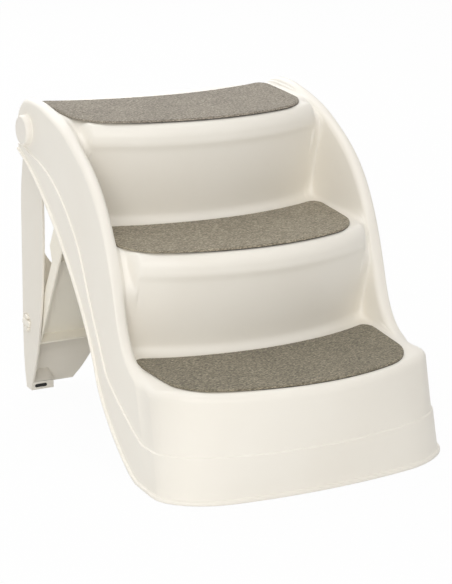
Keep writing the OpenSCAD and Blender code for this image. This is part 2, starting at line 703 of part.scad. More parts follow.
module slot(w, h) {
    for (s = [-1, 1]) translate([s * (w - h) / 2, 0]) circle(d = h, $fn = 32);
    square([w - h, h], center = true);
}
module rear_leg() {
    color(cream)
    difference() {
        union() {
            difference() {
                across([0, 0], -leg_half, leg_half) union() {
                    polygon(leg_outline);
                    translate(pivot) circle(r = ear_r, $fn = 64);
                }
                across([0, 0], wall - leg_half, leg_half - wall) polygon(leg_room);
                translate([wall - leg_half, pivot_y - wing_r, panel_top])
                    cube([2 * (leg_half - wall), 3 * wing_r, 2 * wing_r]);
                through(leg_back_y - 2 * wing_r, leg_back_y + over) {
                    polygon(arch_half);
                    mirror([1, 0]) polygon(arch_half);
                }
                through(leg_back_y - foot_d, leg_back_y + over)
                    translate([0, window_z]) slot(2 * leg_half - window_side, window_h);
            }
            both() {
                rod(pivot, leg_half - wall - hub_t, leg_half, hub_r);
                foot();
            }
        }
        both() {
            rod(pivot, leg_half - wall - hub_t - over, leg_half + over, pin_r + run_gap);
            rod(brace_pivot, leg_half - wall - over, leg_half + over, brace_pin_r + run_gap);
            rod(brace_pivot, leg_half - dish_t, leg_half + over, dish_r);
            through(toe_front - over, toe_front + wall + over)
                translate([slot_x, slot_z]) slot(foot_slot_w, foot_slot_h);
            translate([slot_x, toe_front + foot_d / 2, -over])
                linear_extrude(wall + 2 * over) slot(foot_slot_w, 2 * foot_slot_h);
        }
    }
}
window_side = 46;
dish_t = 1.4;
module foot() {
    difference() {
        intersection() {
            across([0, 0], foot_x, leg_half) polygon(leg_outline);
            translate([foot_x, toe_front, 0]) cube([foot_w, 2 * foot_d, foot_h]);
        }
        translate([foot_x + wall, toe_front + wall, wall])
            cube([foot_w - 2 * wall, foot_d - 1.5 * wall, foot_h]);
    }
}
// Rubber foot: a pad through the floor of the foot and a tongue in its front slot
module leg_foot() {
    fit = 2 * run_gap;
    color(black) {
        translate([slot_x, toe_front + foot_d / 2, 0])
            linear_extrude(slot_z + foot_slot_h / 2 - fit) slot(foot_slot_w - 2 * fit, 2 * foot_slot_h - 2 * fit);
        through(toe_front, toe_front + foot_d / 2)
            translate([slot_x, slot_z]) slot(foot_slot_w - 2 * fit, foot_slot_h - 2 * fit);
    }
}
module right_leg_foot() { leg_foot(); }
module left_leg_foot() { mirror([1, 0, 0]) leg_foot(); }

// Brace: a tray open to the front, with ears at its pins
brace_half = leg_half - wall - brace_gap;
brace_ear_r = brace_in - wall - 2 * side_play;
flare_from = 0.54 * brace_len;
flare_to = 0.6 * brace_len;
brace_hem = 6;
brace_back = [
    [brace_reach - brace_deep, -brace_hem],
    [brace_reach - brace_deep, flare_from],
    [brace_reach - ear_deep, flare_to],
    [brace_reach - ear_deep, brace_len]
];
brace_outline = concat(
    [for (q = brace_back) brace_place(q[0], q[1])],
    [brace_place(brace_tip, brace_len), brace_place(brace_reach, taper_from), brace_place(brace_reach, -brace_hem)]
);
brace_room = concat(
    [brace_place(brace_reach - brace_deep + wall, wall - brace_hem)],
    [brace_place(brace_reach - brace_deep + wall, flare_from)],
    [brace_place(brace_reach - ear_deep + wall, flare_to)],
    [brace_place(brace_reach - ear_deep + wall, brace_len - wall)],
    [brace_place(brace_reach + over, brace_len - wall), brace_place(brace_reach + over, wall - brace_hem)]
);
module brace() {
    color(cream)
    difference() {
        union() {
            difference() {
                across([0, 0], -brace_half, brace_half) polygon(brace_outline);
                across([0, 0], wall - brace_half, brace_half - wall) polygon(brace_room);
            }
            both() across([0, 0], brace_half - wall, brace_half) union() {
                translate(brace_pivot) circle(r = brace_ear_r, $fn = 48);
                polygon([
                    brace_place(brace_reach - brace_deep + over, -brace_hem),
                    brace_place(0, -brace_ear_r),
                    brace_place(0, brace_ear_r),
                    brace_place(brace_reach - brace_deep + over, 3 * brace_ear_r)
                ]);
            }
        }
        both() rod(brace_pivot, brace_half - wall - over, brace_half + over, brace_pin_r + run_gap);
    }
}
tab_w = 8;
tab_t = 1;
module brace_pin() {
    color(cream) {
        rod(brace_pivot, brace_half - wall - over, leg_half - dish_t + tab_t / 2, brace_pin_r);
        translate([leg_half - dish_t + side_play / 4, brace_pivot[0], brace_pivot[1]])
            rotate([90, 0, 90]) linear_extrude(tab_t) slot(2 * dish_r - 2 * over, tab_w);
    }
}
module right_brace_pin() { brace_pin(); }
module left_brace_pin() { mirror([1, 0, 0]) brace_pin(); }

stair_shell();
top_mat();
middle_mat();
bottom_mat();
top_backing();
middle_backing();
bottom_backing();
left_cap();
right_cap();
left_pin();
right_pin();
left_clip_ring();
right_clip_ring();
rear_leg();
left_leg_foot();
right_leg_foot();
brace();
left_brace_pin();
right_brace_pin();
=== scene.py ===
import math
import bpy
import bmesh
import numpy as np
from mathutils import Matrix, Vector


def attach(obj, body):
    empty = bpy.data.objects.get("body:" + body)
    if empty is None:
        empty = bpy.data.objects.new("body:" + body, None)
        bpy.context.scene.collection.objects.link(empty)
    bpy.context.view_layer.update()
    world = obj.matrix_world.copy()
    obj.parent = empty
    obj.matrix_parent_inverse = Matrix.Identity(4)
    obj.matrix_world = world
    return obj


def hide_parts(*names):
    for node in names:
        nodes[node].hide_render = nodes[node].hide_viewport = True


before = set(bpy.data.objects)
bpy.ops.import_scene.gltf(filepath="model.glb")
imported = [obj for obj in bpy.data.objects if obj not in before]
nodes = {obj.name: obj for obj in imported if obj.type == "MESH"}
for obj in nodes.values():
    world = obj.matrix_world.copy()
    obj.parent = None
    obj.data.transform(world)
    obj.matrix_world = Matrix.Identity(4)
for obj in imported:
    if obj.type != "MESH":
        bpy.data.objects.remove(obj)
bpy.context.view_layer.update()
studio = bpy.context.scene
mm = 0.001  # shapes are worked out in millimetres, meshes are in metres
print("stairs: frame loaded with", len(nodes), "nodes")


def linked(name, data):
    made = bpy.data.objects.new(name, data)
    studio.collection.objects.link(made)
    return made


# Camera: the photograph's view
viewPoint = {"azimuth": 27.856, "elevation": 17.098, "roll": 0.825, "target": (-0.0298, -0.0237, 0.1849),
             "distance": 2.3741, "lens": 118.455, "sensor": 36, "shiftX": 0.0110, "reach": 30}


def makeCamera(v):
    a, e, r = (math.radians(v[k]) for k in ("azimuth", "elevation", "roll"))
    back = Vector((-math.sin(a) * math.cos(e), -math.cos(a) * math.cos(e), math.sin(e)))
    right = Vector((math.cos(a), -math.sin(a), 0))
    up = back.cross(right)
    tilted = (math.cos(r) * right + math.sin(r) * up, -math.sin(r) * right + math.cos(r) * up, back)
    data = bpy.data.cameras.new("viewCamera")
    data.lens, data.sensor_width = v["lens"], v["sensor"]
    data.shift_x, data.clip_end = v["shiftX"], v["reach"]
    cam = linked("viewCamera", data)
    place = Matrix.Translation(Vector(v["target"]) + back * v["distance"])
    cam.matrix_world = place @ Matrix(tilted).transposed().to_4x4()
    studio.camera = cam


makeCamera(viewPoint)


# Small tools
def lerp(a, b, t):
    return a + (b - a) * t


def ease(t):
    return (1 - np.cos(np.pi * np.clip(t, 0, 1))) / 2


def softMin(a, b, width):
    return (a + b - np.sqrt((a - b) ** 2 + width * width)) / 2


def monotone(xs, ys, x):  # smooth curve through the points that never turns back between them
    xs, ys, x = np.asarray(xs, float), np.asarray(ys, float), np.asarray(x, float)
    h = np.diff(xs)
    d = np.diff(ys) / h
    m = np.zeros(len(xs))
    same = d[:-1] * d[1:] > 0
    m[1:-1][same] = 2 * d[:-1][same] * d[1:][same] / (d[:-1] + d[1:])[same]
    m[0], m[-1] = d[0], d[-1]
    i = np.clip(np.searchsorted(xs, x) - 1, 0, len(xs) - 2)
    t = np.clip((x - xs[i]) / h[i], 0, 1)
    return ((2 * t ** 3 - 3 * t ** 2 + 1) * ys[i] + (t ** 3 - 2 * t ** 2 + t) * h[i] * m[i]
            + (3 * t ** 2 - 2 * t ** 3) * ys[i + 1] + (t ** 3 - t ** 2) * h[i] * m[i + 1])


def bezier(p, n):
    t = np.linspace(0, 1, n + 1)[:, None]
    p = np.asarray(p, float)
    return p[0] * (1 - t) ** 3 + 3 * p[1] * t * (1 - t) ** 2 + 3 * p[2] * t * t * (1 - t) + p[3] * t ** 3


def sweep(a, aDir, aLen, b, bDir, bLen):
    aDir, bDir = math.radians(aDir), math.radians(bDir)
    a, b = np.asarray(a, float), np.asarray(b, float)
    return [a, a + aLen * np.array([math.cos(aDir), math.sin(aDir)]),
            b - bLen * np.array([math.cos(bDir), math.sin(bDir)]), b]


def columns(*parts):  # points from their coordinates
    return np.stack(parts, axis=-1)


def lengthsOf(points):
    return np.concatenate([[0], np.cumsum(np.linalg.norm(np.diff(points, axis=0), axis=1))])


def unit(v):
    return v / np.maximum(np.linalg.norm(v, axis=-1, keepdims=True), 1e-12)


def gridFaces(rows, cols):  # faces of a grid of points that are listed row by row
    ids = np.arange(rows * cols).reshape(rows, cols)
    return columns(ids[:-1, :-1], ids[:-1, 1:], ids[1:, 1:], ids[1:, :-1]).reshape(-1, 4)


def tubeFaces(n, rings):  # faces of a closed tube of rings with n points each
    made = [[k * n + i, k * n + (i + 1) % n, (k + 1) * n + (i + 1) % n, (k + 1) * n + i]
            for k in range(rings - 1) for i in range(n)]
    return made + [list(range(n)), list(range((rings - 1) * n, rings * n))]


def newPiece(name, points, faces, sharp=None):
    mesh = bpy.data.meshes.new(name)
    corners = [tuple(p) for p in np.asarray(points, float) * mm]
    mesh.from_pydata(corners, [], [tuple(int(i) for i in f) for f in faces])
    bm = bmesh.new()
    bm.from_mesh(mesh)
    bmesh.ops.recalc_face_normals(bm, faces=bm.faces)
    bm.to_mesh(mesh)
    bm.free()
    mesh.validate()
    mesh.shade_smooth()
    if sharp:
        mesh.set_sharp_from_angle(angle=math.radians(sharp))
    return linked(name, mesh)


def settle(piece, body, slot, material, *replaced):
    piece.data.materials.clear()
    piece.data.materials.append(material)
    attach(piece, body)
    if replaced:
        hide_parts(*replaced)


def finishNodes(material, *names):
    for name in names:
        for slotEntry in nodes[name].material_slots:
            slotEntry.material = material


# Node groups that several finishes share
def newGroup(name, inputs, outputs):
    tree = bpy.data.node_groups.new(name, "ShaderNodeTree")
    for label, value in inputs.items():
        kind = "NodeSocketColor" if isinstance(value, tuple) else "NodeSocketFloat"
        tree.interface.new_socket(label, in_out="INPUT", socket_type=kind).default_value = value
    for label in outputs:
        kind = "NodeSocketColor" if label == "Colour" else "NodeSocketFloat"
        tree.interface.new_socket(label, in_out="OUTPUT", socket_type=kind)
    return tree, tree.nodes.new("NodeGroupInput").outputs, tree.nodes.new("NodeGroupOutput")


def setInputs(tree, node, values):  # a number or a colour sets the socket, anything else is linked to it
    for key, value in values.items():
        if isinstance(value, (int, float, tuple)):
            node.inputs[key].default_value = value
        else:
            tree.links.new(value, node.inputs[key])


def addNode(tree, kind, where=(0, 0), values=None, **settings):
    node = tree.nodes.new(kind)
    node.location = where
    for key, value in settings.items():
        setattr(node, key, value)
    setInputs(tree, node, values or {})
    return node


def objectPlace(tree, where=(-900, 0)):
    return addNode(tree, "ShaderNodeTexCoord", where).outputs["Object"]


def noise(tree, where, **values):
    return addNode(tree, "ShaderNodeTexNoise", where, values).outputs["Fac"]


def reckon(tree, operation, a, b, where):
    return addNode(tree, "ShaderNodeMath", where, {0: a, 1: b}, operation=operation).outputs[0]


def mixColours(tree, factor, a, b, where=(0, 0)):
    return addNode(tree, "ShaderNodeMix", where, {0: factor, 6: a, 7: b}, data_type="RGBA").outputs[2]


def spread(tree, value, lowIn, highIn, lowOut, highOut, where=(0, 0)):
    values = {"Value": value, "From Min": lowIn, "From Max": highIn, "To Min": lowOut, "To Max": highOut}
    return addNode(tree, "ShaderNodeMapRange", where, values).outputs["Result"]


def mouldedGrain():  # fine skin, faint clouding and patches of gloss on moulded plastic
    sockets = {"Colour": (0.8, 0.76, 0.68, 1), "Clouded": (0.76, 0.72, 0.64, 1), "Grain": 900, "Dull": 0.46}
    tree, into, out = newGroup("mouldedGrain", sockets, ("Colour", "Roughness", "Height"))
    place = objectPlace(tree)
    cloud = noise(tree, (-700, 200), Vector=place, Scale=7, Detail=3, Roughness=0.5)
    skin = noise(tree, (-700, -80), Vector=place, Scale=into["Grain"], Detail=3, Roughness=0.6)
    flow = noise(tree, (-700, -340), Vector=place, Scale=38, Detail=2, Distortion=0.6)
    amount = spread(tree, cloud, 0.35, 0.68, 0, 1, (-480, 200))
    tint = mixColours(tree, amount, into["Colour"], into["Clouded"], (-260, 200))
    gloss = spread(tree, flow, 0.3, 0.7, -0.05, 0.05, (-480, -340))
    dull = reckon(tree, "ADD", gloss, into["Dull"], (-260, -340))
    setInputs(tree, out, {"Colour": tint, "Roughness": dull, "Height": skin})
    return tree


def carpetPile():  # flecked short pile: tufts with painted shade in the hollows between them, stray lighter fibres and worn patches
    sockets = {"Fleck": (0.36, 0.33, 0.25, 1), "Yarn": (0.26, 0.235, 0.18, 1),
               "Hollow": (0.12, 0.105, 0.08, 1), "Tufts": 900}
    tree, into, out = newGroup("carpetPile", sockets, ("Colour", "Height"))
    place = objectPlace(tree, (-1100, 0))
    mapping = addNode(tree, "ShaderNodeMapping", (-920, 0), {"Vector": place, "Scale": (0.36, 1.0, 1.0)})
    stretched = mapping.outputs["Vector"]
    cells = {"Vector": stretched, "Scale": into["Tufts"], "Randomness": 1.0}
    tuft = addNode(tree, "ShaderNodeTexVoronoi", (-700, 240), cells, feature="F1").outputs["Distance"]
    fibre = noise(tree, (-700, -20), Vector=stretched, Scale=520, Detail=3, Roughness=0.7, Distortion=0.6)
    patch = noise(tree, (-700, -280), Vector=place, Scale=24, Detail=4, Roughness=0.62)
    # painted shade: the pile colour is darkened towards the hollows between tufts
    gap = spread(tree, tuft, 0.25, 0.75, 0, 0.8, (-480, 300))
    stray = spread(tree, fibre, 0.43, 0.6, 0, 1, (-480, 40))
    flecked = mixColours(tree, stray, into["Yarn"], into["Fleck"], (-260, 120))
    deep = mixColours(tree, gap, flecked, into["Hollow"], (-60, 220))
    wear = spread(tree, patch, 0.34, 0.7, 0.88, 1.1, (-480, -280))
    worn = mixColours(tree, wear, (0, 0, 0, 1), deep, (120, 100))
    setInputs(tree, out, {"Colour": worn, "Height": reckon(tree, "SUBTRACT", fibre, tuft, (-60, -160))})
    return tree


grainGroup, pileGroup = mouldedGrain(), carpetPile()


def newMaterial(name):
    material = bpy.data.materials.new(name)
    material.use_nodes = True
    tree = material.node_tree
    return material, tree, tree.nodes["Principled BSDF"]


def placeGroup(tree, group, **values):
    node = addNode(tree, "ShaderNodeGroup", (-600, 0), node_tree=group)
    setInputs(tree, node, {k: (*v, 1) if isinstance(v, tuple) else v for k, v in values.items()})
    return node.outputs


def bumped(tree, height, strength, distance):
    values = {"Height": height, "Strength": strength, "Distance": distance}
    return addNode(tree, "ShaderNodeBump", (-260, -260), values).outputs["Normal"]


def plastic(name, colour, clouded, dull=0.42, grain=900, strength=0.25):
    material, tree, shader = newMaterial(name)
    skin = placeGroup(tree, grainGroup, Colour=colour, Clouded=clouded, Grain=grain, Dull=dull)
    relief = bumped(tree, skin["Height"], strength, 0.00012)
    setInputs(tree, shader, {"Base Color": skin["Colour"], "Normal": relief, "Roughness": skin["Roughness"],
                             "Specular IOR Level": 0.42})
    return material


def carpetFinish(name, fleck, yarn, hollowShade):
    material, tree, shader = newMaterial(name)
    pile = placeGroup(tree, pileGroup, Fleck=fleck, Yarn=yarn, Hollow=hollowShade)
    relief = bumped(tree, pile["Height"], 0.5, 0.0005)
    setInputs(tree, shader, {"Base Color": pile["Colour"], "Normal": relief, "Roughness": 0.95,
                             "Specular IOR Level": 0.15, "Sheen Weight": 0.12, "Sheen Roughness": 0.5})
    return material


finishes = {
    "shell": plastic("creamShell", (0.88, 0.847, 0.78), (0.86, 0.822, 0.75)),
    "leg": plastic("creamLeg", (0.84, 0.805, 0.735), (0.82, 0.78, 0.705), dull=0.5),
    # painted light: the brace, which sits in shade under the stairs, is coloured a lighter cream than the
    # shell
    "brace": plastic("creamBracePaintedLight", (0.93, 0.89, 0.79), (0.91, 0.865, 0.76), dull=0.5),
    "cap": plastic("creamCap", (0.86, 0.825, 0.765), (0.84, 0.80, 0.735), dull=0.38),
    "clip": plastic("creamClip", (0.9, 0.86, 0.78), (0.88, 0.835, 0.75), dull=0.4),
    "rubber": plastic("blackRubber", (0.012, 0.012, 0.012), (0.02, 0.02, 0.019), 0.7, 1500, 0.5),
    "backing": plastic("darkBacking", (0.05, 0.044, 0.038), (0.035, 0.03, 0.026), 0.8, 1300, 0.6),
    # One carpet in three shades: the middle and top copies are painted lighter, as painted light for the
    # brighter light on the higher treads. The third colour of each is the painted shade between tufts.
    "bottomCarpet": carpetFinish("taupeCarpet", (0.475, 0.424, 0.316), (0.25, 0.222, 0.162),
                                 (0.1, 0.088, 0.064)),
    "middleCarpet": carpetFinish("taupeCarpetMiddlePaintedLight", (0.56, 0.495, 0.378), (0.32, 0.283, 0.21),
                                 (0.14, 0.123, 0.09)),
    "topCarpet": carpetFinish("taupeCarpetTopPaintedLight", (0.555, 0.497, 0.41), (0.325, 0.29, 0.24),
                              (0.14, 0.124, 0.1)),
}


def steelFinish():
    material, tree, shader = newMaterial("pinSteel")
    turned = noise(tree, (-700, 0), Vector=objectPlace(tree), Scale=600, Detail=3)
    amount = spread(tree, turned, 0.3, 0.7, 0, 1, (-480, 100))
    tint = mixColours(tree, amount, (0.55, 0.56, 0.58, 1), (0.66, 0.67, 0.68, 1), (-260, 100))
    gloss = spread(tree, turned, 0.3, 0.7, 0.25, 0.4, (-480, -100))
    setInputs(tree, shader, {"Base Color": tint, "Roughness": gloss, "Metallic": 1})
    return material


finishes["steel"] = steelFinish()
print("stairs: finishes ready")

# Shell of the stairs: the sizes of its solid, then how the crest and the steps' ends are filled out
shell = {"width": 394, "firstRise": 127, "rise": 130, "going": 135, "topDepth": 199, "bowRadius": 320,
         "wall": 3, "noseRadius": 17, "lipHeight": 21, "lipRun": 16, "lipSet": 4.5, "overhang": 24,
         "footRadius": 11, "frontRadius": 12, "crestRadius": 8, "crestSet": 16.5, "wingRadius": 40,
         "wingLift": 11, "crestDrop": 5, "sideRadius": 15, "cornerRadius": 18, "frontCorner": 56,
         "baseBow": 850, "baseCornerWidth": 76, "baseCornerDepth": 40, "bandHeight": 54, "bandStep": 2,
         "bead": 3, "beadHeight": 4, "noseIn": 8, "rearIn": 13, "wallDraft": 2, "fuller": 4.3, "valley": 12,
         "shoulder": 16}

rise, going, bowRadius, wall = shell["rise"], shell["going"], shell["bowRadius"], shell["wall"]
firstRise, overhang, noseRadius = shell["firstRise"], shell["overhang"], shell["noseRadius"]
lipHeight, lipRun, footRadius = shell["lipHeight"], shell["lipRun"], shell["footRadius"]
crestRadius, wingRadius, crestDrop = shell["crestRadius"], shell["wingRadius"], shell["crestDrop"]
frontCorner, valley = shell["frontCorner"], shell["valley"]
halfWidth = shell["width"] / 2
crestX = halfWidth - shell["crestSet"]
wallX = crestX - crestRadius - shell["wallDraft"]
depth = shell["noseIn"] + 2 * going + shell["topDepth"] + shell["rearIn"]
frontY = shell["noseIn"] - depth / 2
rearY = depth / 2 - shell["rearIn"]
treadZ = [firstRise + i * rise for i in range(3)]
noseY = [frontY + i * going for i in range(3)]
pivot = np.array([depth / 2 - wingRadius, treadZ[2] + shell["wingLift"] - wingRadius])
slope = math.atan2(rise, going)
treadFillet = shell["cornerRadius"] * 0.4


def along(p):
    return p[..., 0] * math.cos(slope) + p[..., 1] * math.sin(slope)


def above(p):
    return p[..., 1] * math.cos(slope) - p[..., 0] * math.sin(slope)


def bow(x):
    return bowRadius - np.sqrt(bowRadius ** 2 - np.asarray(x, float) ** 2)


cornerMidX = crestX - frontCorner
cornerMidY = bowRadius - math.sqrt((bowRadius - frontCorner) ** 2 - cornerMidX ** 2)
cornerX = cornerMidX * bowRadius / (bowRadius - frontCorner)
cornerDeep = cornerMidY - float(bow(wallX))


def cornerPart(x):
    return np.clip((np.abs(x) - cornerMidX) / frontCorner, 0, 1)


def cornerY(x):
    arc = cornerMidY - frontCorner * np.sqrt(1 - cornerPart(x) ** 2)
    return np.where(np.abs(x) <= cornerX, 0, (arc - bow(np.minimum(np.abs(x), wallX))) / cornerDeep)


# Centre line of the treads, nosings and risers
lean = math.atan((overhang - shell["lipSet"]) / (rise - lipHeight - lipRun))
footRun = footRadius * math.tan((math.pi / 2 + lean) / 2)
riserLength = (rise - lipHeight - lipRun) / math.cos(lean)


def riserPoint(i, up):
    return np.array([noseY[i] + overhang - up * math.sin(lean), treadZ[i - 1] + up * math.cos(lean)])


def arc(middle, radius, start, end, n):
    a = np.radians(np.linspace(start, end, n + 1))
    return np.asarray(middle, float) + radius * columns(np.cos(a), np.sin(a))


line, marks = [], []
endFrom, endTo = -8, 112  # the round end of the wing, in degrees from straight up


def addRow(points, **values):
    line.extend(np.asarray(points, float).reshape(-1, 2))
    usual = {"share": 1, "fillet": treadFillet, "turn": wallX - 1.1 * shell["cornerRadius"], "keep": 1.5,
             "lip": 0, "placed": None, "angle": None}
    marks.append(dict(usual, **values, at=len(line) - 1))


def straight(end, n):
    start = line[-1]
    return [lerp(start, np.asarray(end, float), i / n) for i in range(1, n + 1)]


frontTop = np.array([frontY + shell["frontRadius"], firstRise])
flatRun = noseY[1] + overhang - footRun - frontTop[0]
# Marks along the bottom tread: where the corner ends, its rows end, its pull has faded, the flat ends
cornerMark, rowsMark, fadeMark, flatMark = 3, 5, 6, 7
bottomShares = [0, 0.02, 0.06, 0.11, 0.26, 0.45, 0.65, 0.84]
bottomSteps = [1, 3, 4, 4, 6, 6, 6, 6]
cornerShares = [0.84, 0.93, 0.98, 1, 1, 1, 1, 1]
dropShares = [0.4, 0.65, 0.88, 1, 1, 1, 1, 1]
for k, part in enumerate(bottomShares):
    end = frontTop + [flatRun * part, 0]
    addRow([end] if k == 0 else straight(end, bottomSteps[k]), keep=-rise, turn=cornerX - wall)


def addStep(i):
    turn = wallX - shell["shoulder"]
    footMiddle = [noseY[i] + overhang - footRun, treadZ[i - 1] + footRadius]
    halfAngle = -45 + math.degrees(lean) / 2
    first = arc(footMiddle, footRadius, -90, halfAngle, 4)
    addRow(straight(first[0], 5))
    addRow(first[1:], fillet=lerp(treadFillet, valley, 0.6), turn=turn)
    second = arc(footMiddle, footRadius, halfAngle, math.degrees(lean), 4)
    addRow(second[1:], fillet=valley, turn=turn)
    addRow(straight(riserPoint(i, lerp(footRun, riserLength, 0.5)), 6), fillet=valley, turn=turn)
    top = riserPoint(i, riserLength)
    lipLow = treadZ[i] - lipHeight
    under = bezier([top, top + lipRun / 2 * np.array([-math.sin(lean), math.cos(lean)]),
                    [noseY[i], lipLow - lipRun / 2], [noseY[i], lipLow]], 12)
    roll = np.array([noseY[i] + noseRadius, treadZ[i] - noseRadius])
    nose = arc(roll, noseRadius, 180, 90, 16)
    side = np.array([float(bow(wallX)), 0])
    s0, s1 = along(top + side) - lipRun / 4, along(nose[-1] + side)
    lipValues = {"turn": turn, "keep": crestRadius * 0.8, "lip": 1}
    for j in range(4):
        points = straight(under[0], 6) if j == 0 else under[4 * j - 3:4 * j + 1]
        addRow(points, fillet=lerp(valley, treadFillet, j / 3), placed=lerp(s0, s1, j / 8), **lipValues)
    for j in range(5):
        points = straight(nose[0], 1) if j == 0 else nose[4 * j - 3:4 * j + 1]
        addRow(points, placed=lerp(s0, s1, (4 + j) / 8), **lipValues)


addStep(1)
middleStart, middleEnd = noseY[1] + noseRadius, noseY[2] + overhang - footRun
for part in (0.2, 0.5, 0.8):
    addRow(straight([lerp(middleStart, middleEnd, part), treadZ[1]], 4))
addStep(2)
backLip = 1.7 * wall
topStart = noseY[2] + noseRadius
topRun = rearY - backLip - topStart
for part in (0.12, 0.3, 0.48, 0.64, 0.79):
    addRow(straight([topStart + topRun * part, treadZ[2]], 5), share=1 - part)
addRow(straight([topStart + topRun * 0.91, treadZ[2]], 4), share=0.09, angle=4)
for j in range(3):
    lipPoints = arc([rearY - backLip, treadZ[2] - backLip], backLip, 90 - 45 * (j - 1), 90 - 45 * j, 3)[1:]
    addRow(straight([rearY - backLip, treadZ[2]], 4) if j == 0 else lipPoints, share=0, angle=32 + 27 * j)
addRow(straight([rearY, treadZ[2] - 5 * wall], 3), share=0, angle=endTo)
line = np.array(line)
rowCount = len(line)


# Crest of the wing, seen from the side: level front, long sweep, round end
def roundEnd(a):
    a = np.radians(np.asarray(a, float))
    return pivot + wingRadius * columns(np.sin(a), np.cos(a))


wing = {"midShares": (1.311, 0.515), "midAngle": 73, "lowShare": 0.74, "lowPull": 0.37, "midPull": 0.29,
        "upPull": 1.06, "endPull": 1.3, "fullerFrom": 45, "fullerRise": 65, "fullerTo": 165, "fullerFall": 50}
crestMid = [frontY + wing["midShares"][0] * going, firstRise + wing["midShares"][1] * rise]
crestLow = [frontY + wing["lowShare"] * going, firstRise - crestDrop]
lower = bezier(sweep(crestLow, 0, wing["lowPull"] * going, crestMid, wing["midAngle"],
                     wing["midPull"] * rise), 160)
upper = bezier(sweep(crestMid, wing["midAngle"], wing["upPull"] * rise, roundEnd(endFrom), -endFrom,
                     wing["endPull"] * going), 320)
level = np.array([[crestLow[0] - 120, crestLow[1]]])
crest = np.concatenate([level, lower, upper[1:], roundEnd(np.linspace(endFrom, endTo, 200))[1:]])
crest[:, 1] += (shell["fuller"] * ease((crest[:, 0] - wing["fullerFrom"]) / wing["fullerRise"])
                * (1 - ease((crest[:, 0] - wing["fullerTo"]) / wing["fullerFall"])))
crestLong = lengthsOf(crest)
frontPart = 1 + len(lower)  # points of the crest up to the middle of its sweep
roundFrom = frontPart + len(upper) - 2  # index where the round end starts
crestKeys = along(crest[:roundFrom + 1])

rowLong = lengthsOf(line)
markAt = [m["at"] for m in marks]


def alongLine(at, lengths, points):
    return columns(*(np.interp(at, lengths, points[:, k]) for k in (0, 1)))


def spacing(points):  # lengths along the points, growing everywhere
    return lengthsOf(points) + np.arange(len(points)) * 1e-4


def evened(values, places, width, firm=None):  # weighted mean over the neighbours, with the firm rows kept
    values, gaps = np.asarray(values, float), np.gradient(places)
    weights = np.exp(-0.5 * ((places[:, None] - places[None, :]) / width) ** 2) * gaps[None, :]
    mean = (weights / weights.sum(axis=1, keepdims=True)) @ values
    if firm is None:
        return mean
    return lerp(mean, values, firm.reshape((-1,) + (1,) * (values.ndim - 1)))


even = {"rows": 5, "crest": 6, "placed": 3, "columns": 4.5, "facing": 9, "base": 6, "band": 7, "bandRows": 14,
        "frontFirm": 30, "backFirm": 18, "baseFrom": 12, "baseFirm": 20}
firmFrom, firmTo = rowLong[markAt[cornerMark + 1]], rowLong[markAt[-5]]
firmRows = np.maximum(1 - ease((rowLong - firmFrom) / even["frontFirm"]),
                      ease((rowLong - firmTo) / even["backFirm"]))


def rowValues(key):
    values = monotone(rowLong[markAt], [m[key] for m in marks], rowLong)
    return evened(values, rowLong, even["rows"], firmRows)


share, fillet, turnX, keep, lipShare = (rowValues(k) for k in ("share", "fillet", "turn", "keep", "lip"))
sideLine = line + columns(share * float(bow(wallX)), np.zeros(rowCount))
runs, rowNumbers = line[:, 0] - frontTop[0], np.arange(rowCount)
runShare = np.where(rowNumbers <= markAt[flatMark], runs / flatRun, 1.0)
cornerEnds, cornerFades = bottomShares[cornerMark], bottomShares[fadeMark]
cappedShare = np.minimum(runShare, bottomShares[flatMark])
endShare = monotone(bottomShares, cornerShares, cappedShare)
dropShare = monotone(bottomShares, dropShares, cappedShare)
endX = cornerX + (crestX - cornerX) * endShare
amountFront = cornerDeep - runs / np.maximum(cornerY(endX), 1e-6)
fade = np.clip(1 - (runShare - cornerEnds) / (cornerFades - cornerEnds), 0, 1)
amountBack = (cornerDeep - flatRun * cornerEnds) * fade
amount = np.where(runShare < cornerEnds, amountFront, amountBack) * (rowNumbers <= markAt[fadeMark])
cornerRow = rowNumbers <= markAt[rowsMark]
endY = sideLine[:, 0] + amount * cornerY(endX)
longMarks, placeMarks = [], []
for k, m in enumerate(marks):
    v = m["at"]
    p = sideLine[v]
    exact = along(p)
    s = exact if m["placed"] is None else m["placed"]
    if k <= rowsMark:
        longMarks.append(np.interp(endY[v], crest[:frontPart, 0], crestLong[:frontPart]))
    elif m["angle"] is not None:
        longMarks.append(crestLong[roundFrom] + math.radians(m["angle"] - endFrom) * wingRadius)
    else:
        longMarks.append(np.interp(s, crestKeys, crestLong[:roundFrom + 1]))
    placeMarks.append(s - exact)
crestAt = evened(monotone(rowLong[markAt], longMarks, rowLong), rowLong, even["crest"], firmRows)
crestAt[cornerRow] = np.interp(endY[cornerRow], crest[:frontPart, 0], crestLong[:frontPart])
crestRow = alongLine(crestAt, crestLong, crest)
crestRow[:, 1] += crestDrop * (1 - dropShare)
crestRow[:, 0] -= amount * cornerY(endX) * (runShare < 1)
placed = along(sideLine) + monotone(rowLong[markAt], placeMarks, rowLong)
placed = evened(placed, rowLong, even["placed"], firmRows)
lowest = softMin(above(sideLine), above(crestRow) - keep, 1.5)
footLine = columns(placed * math.cos(slope) - lowest * math.sin(slope),
                   placed * math.sin(slope) + lowest * math.cos(slope))

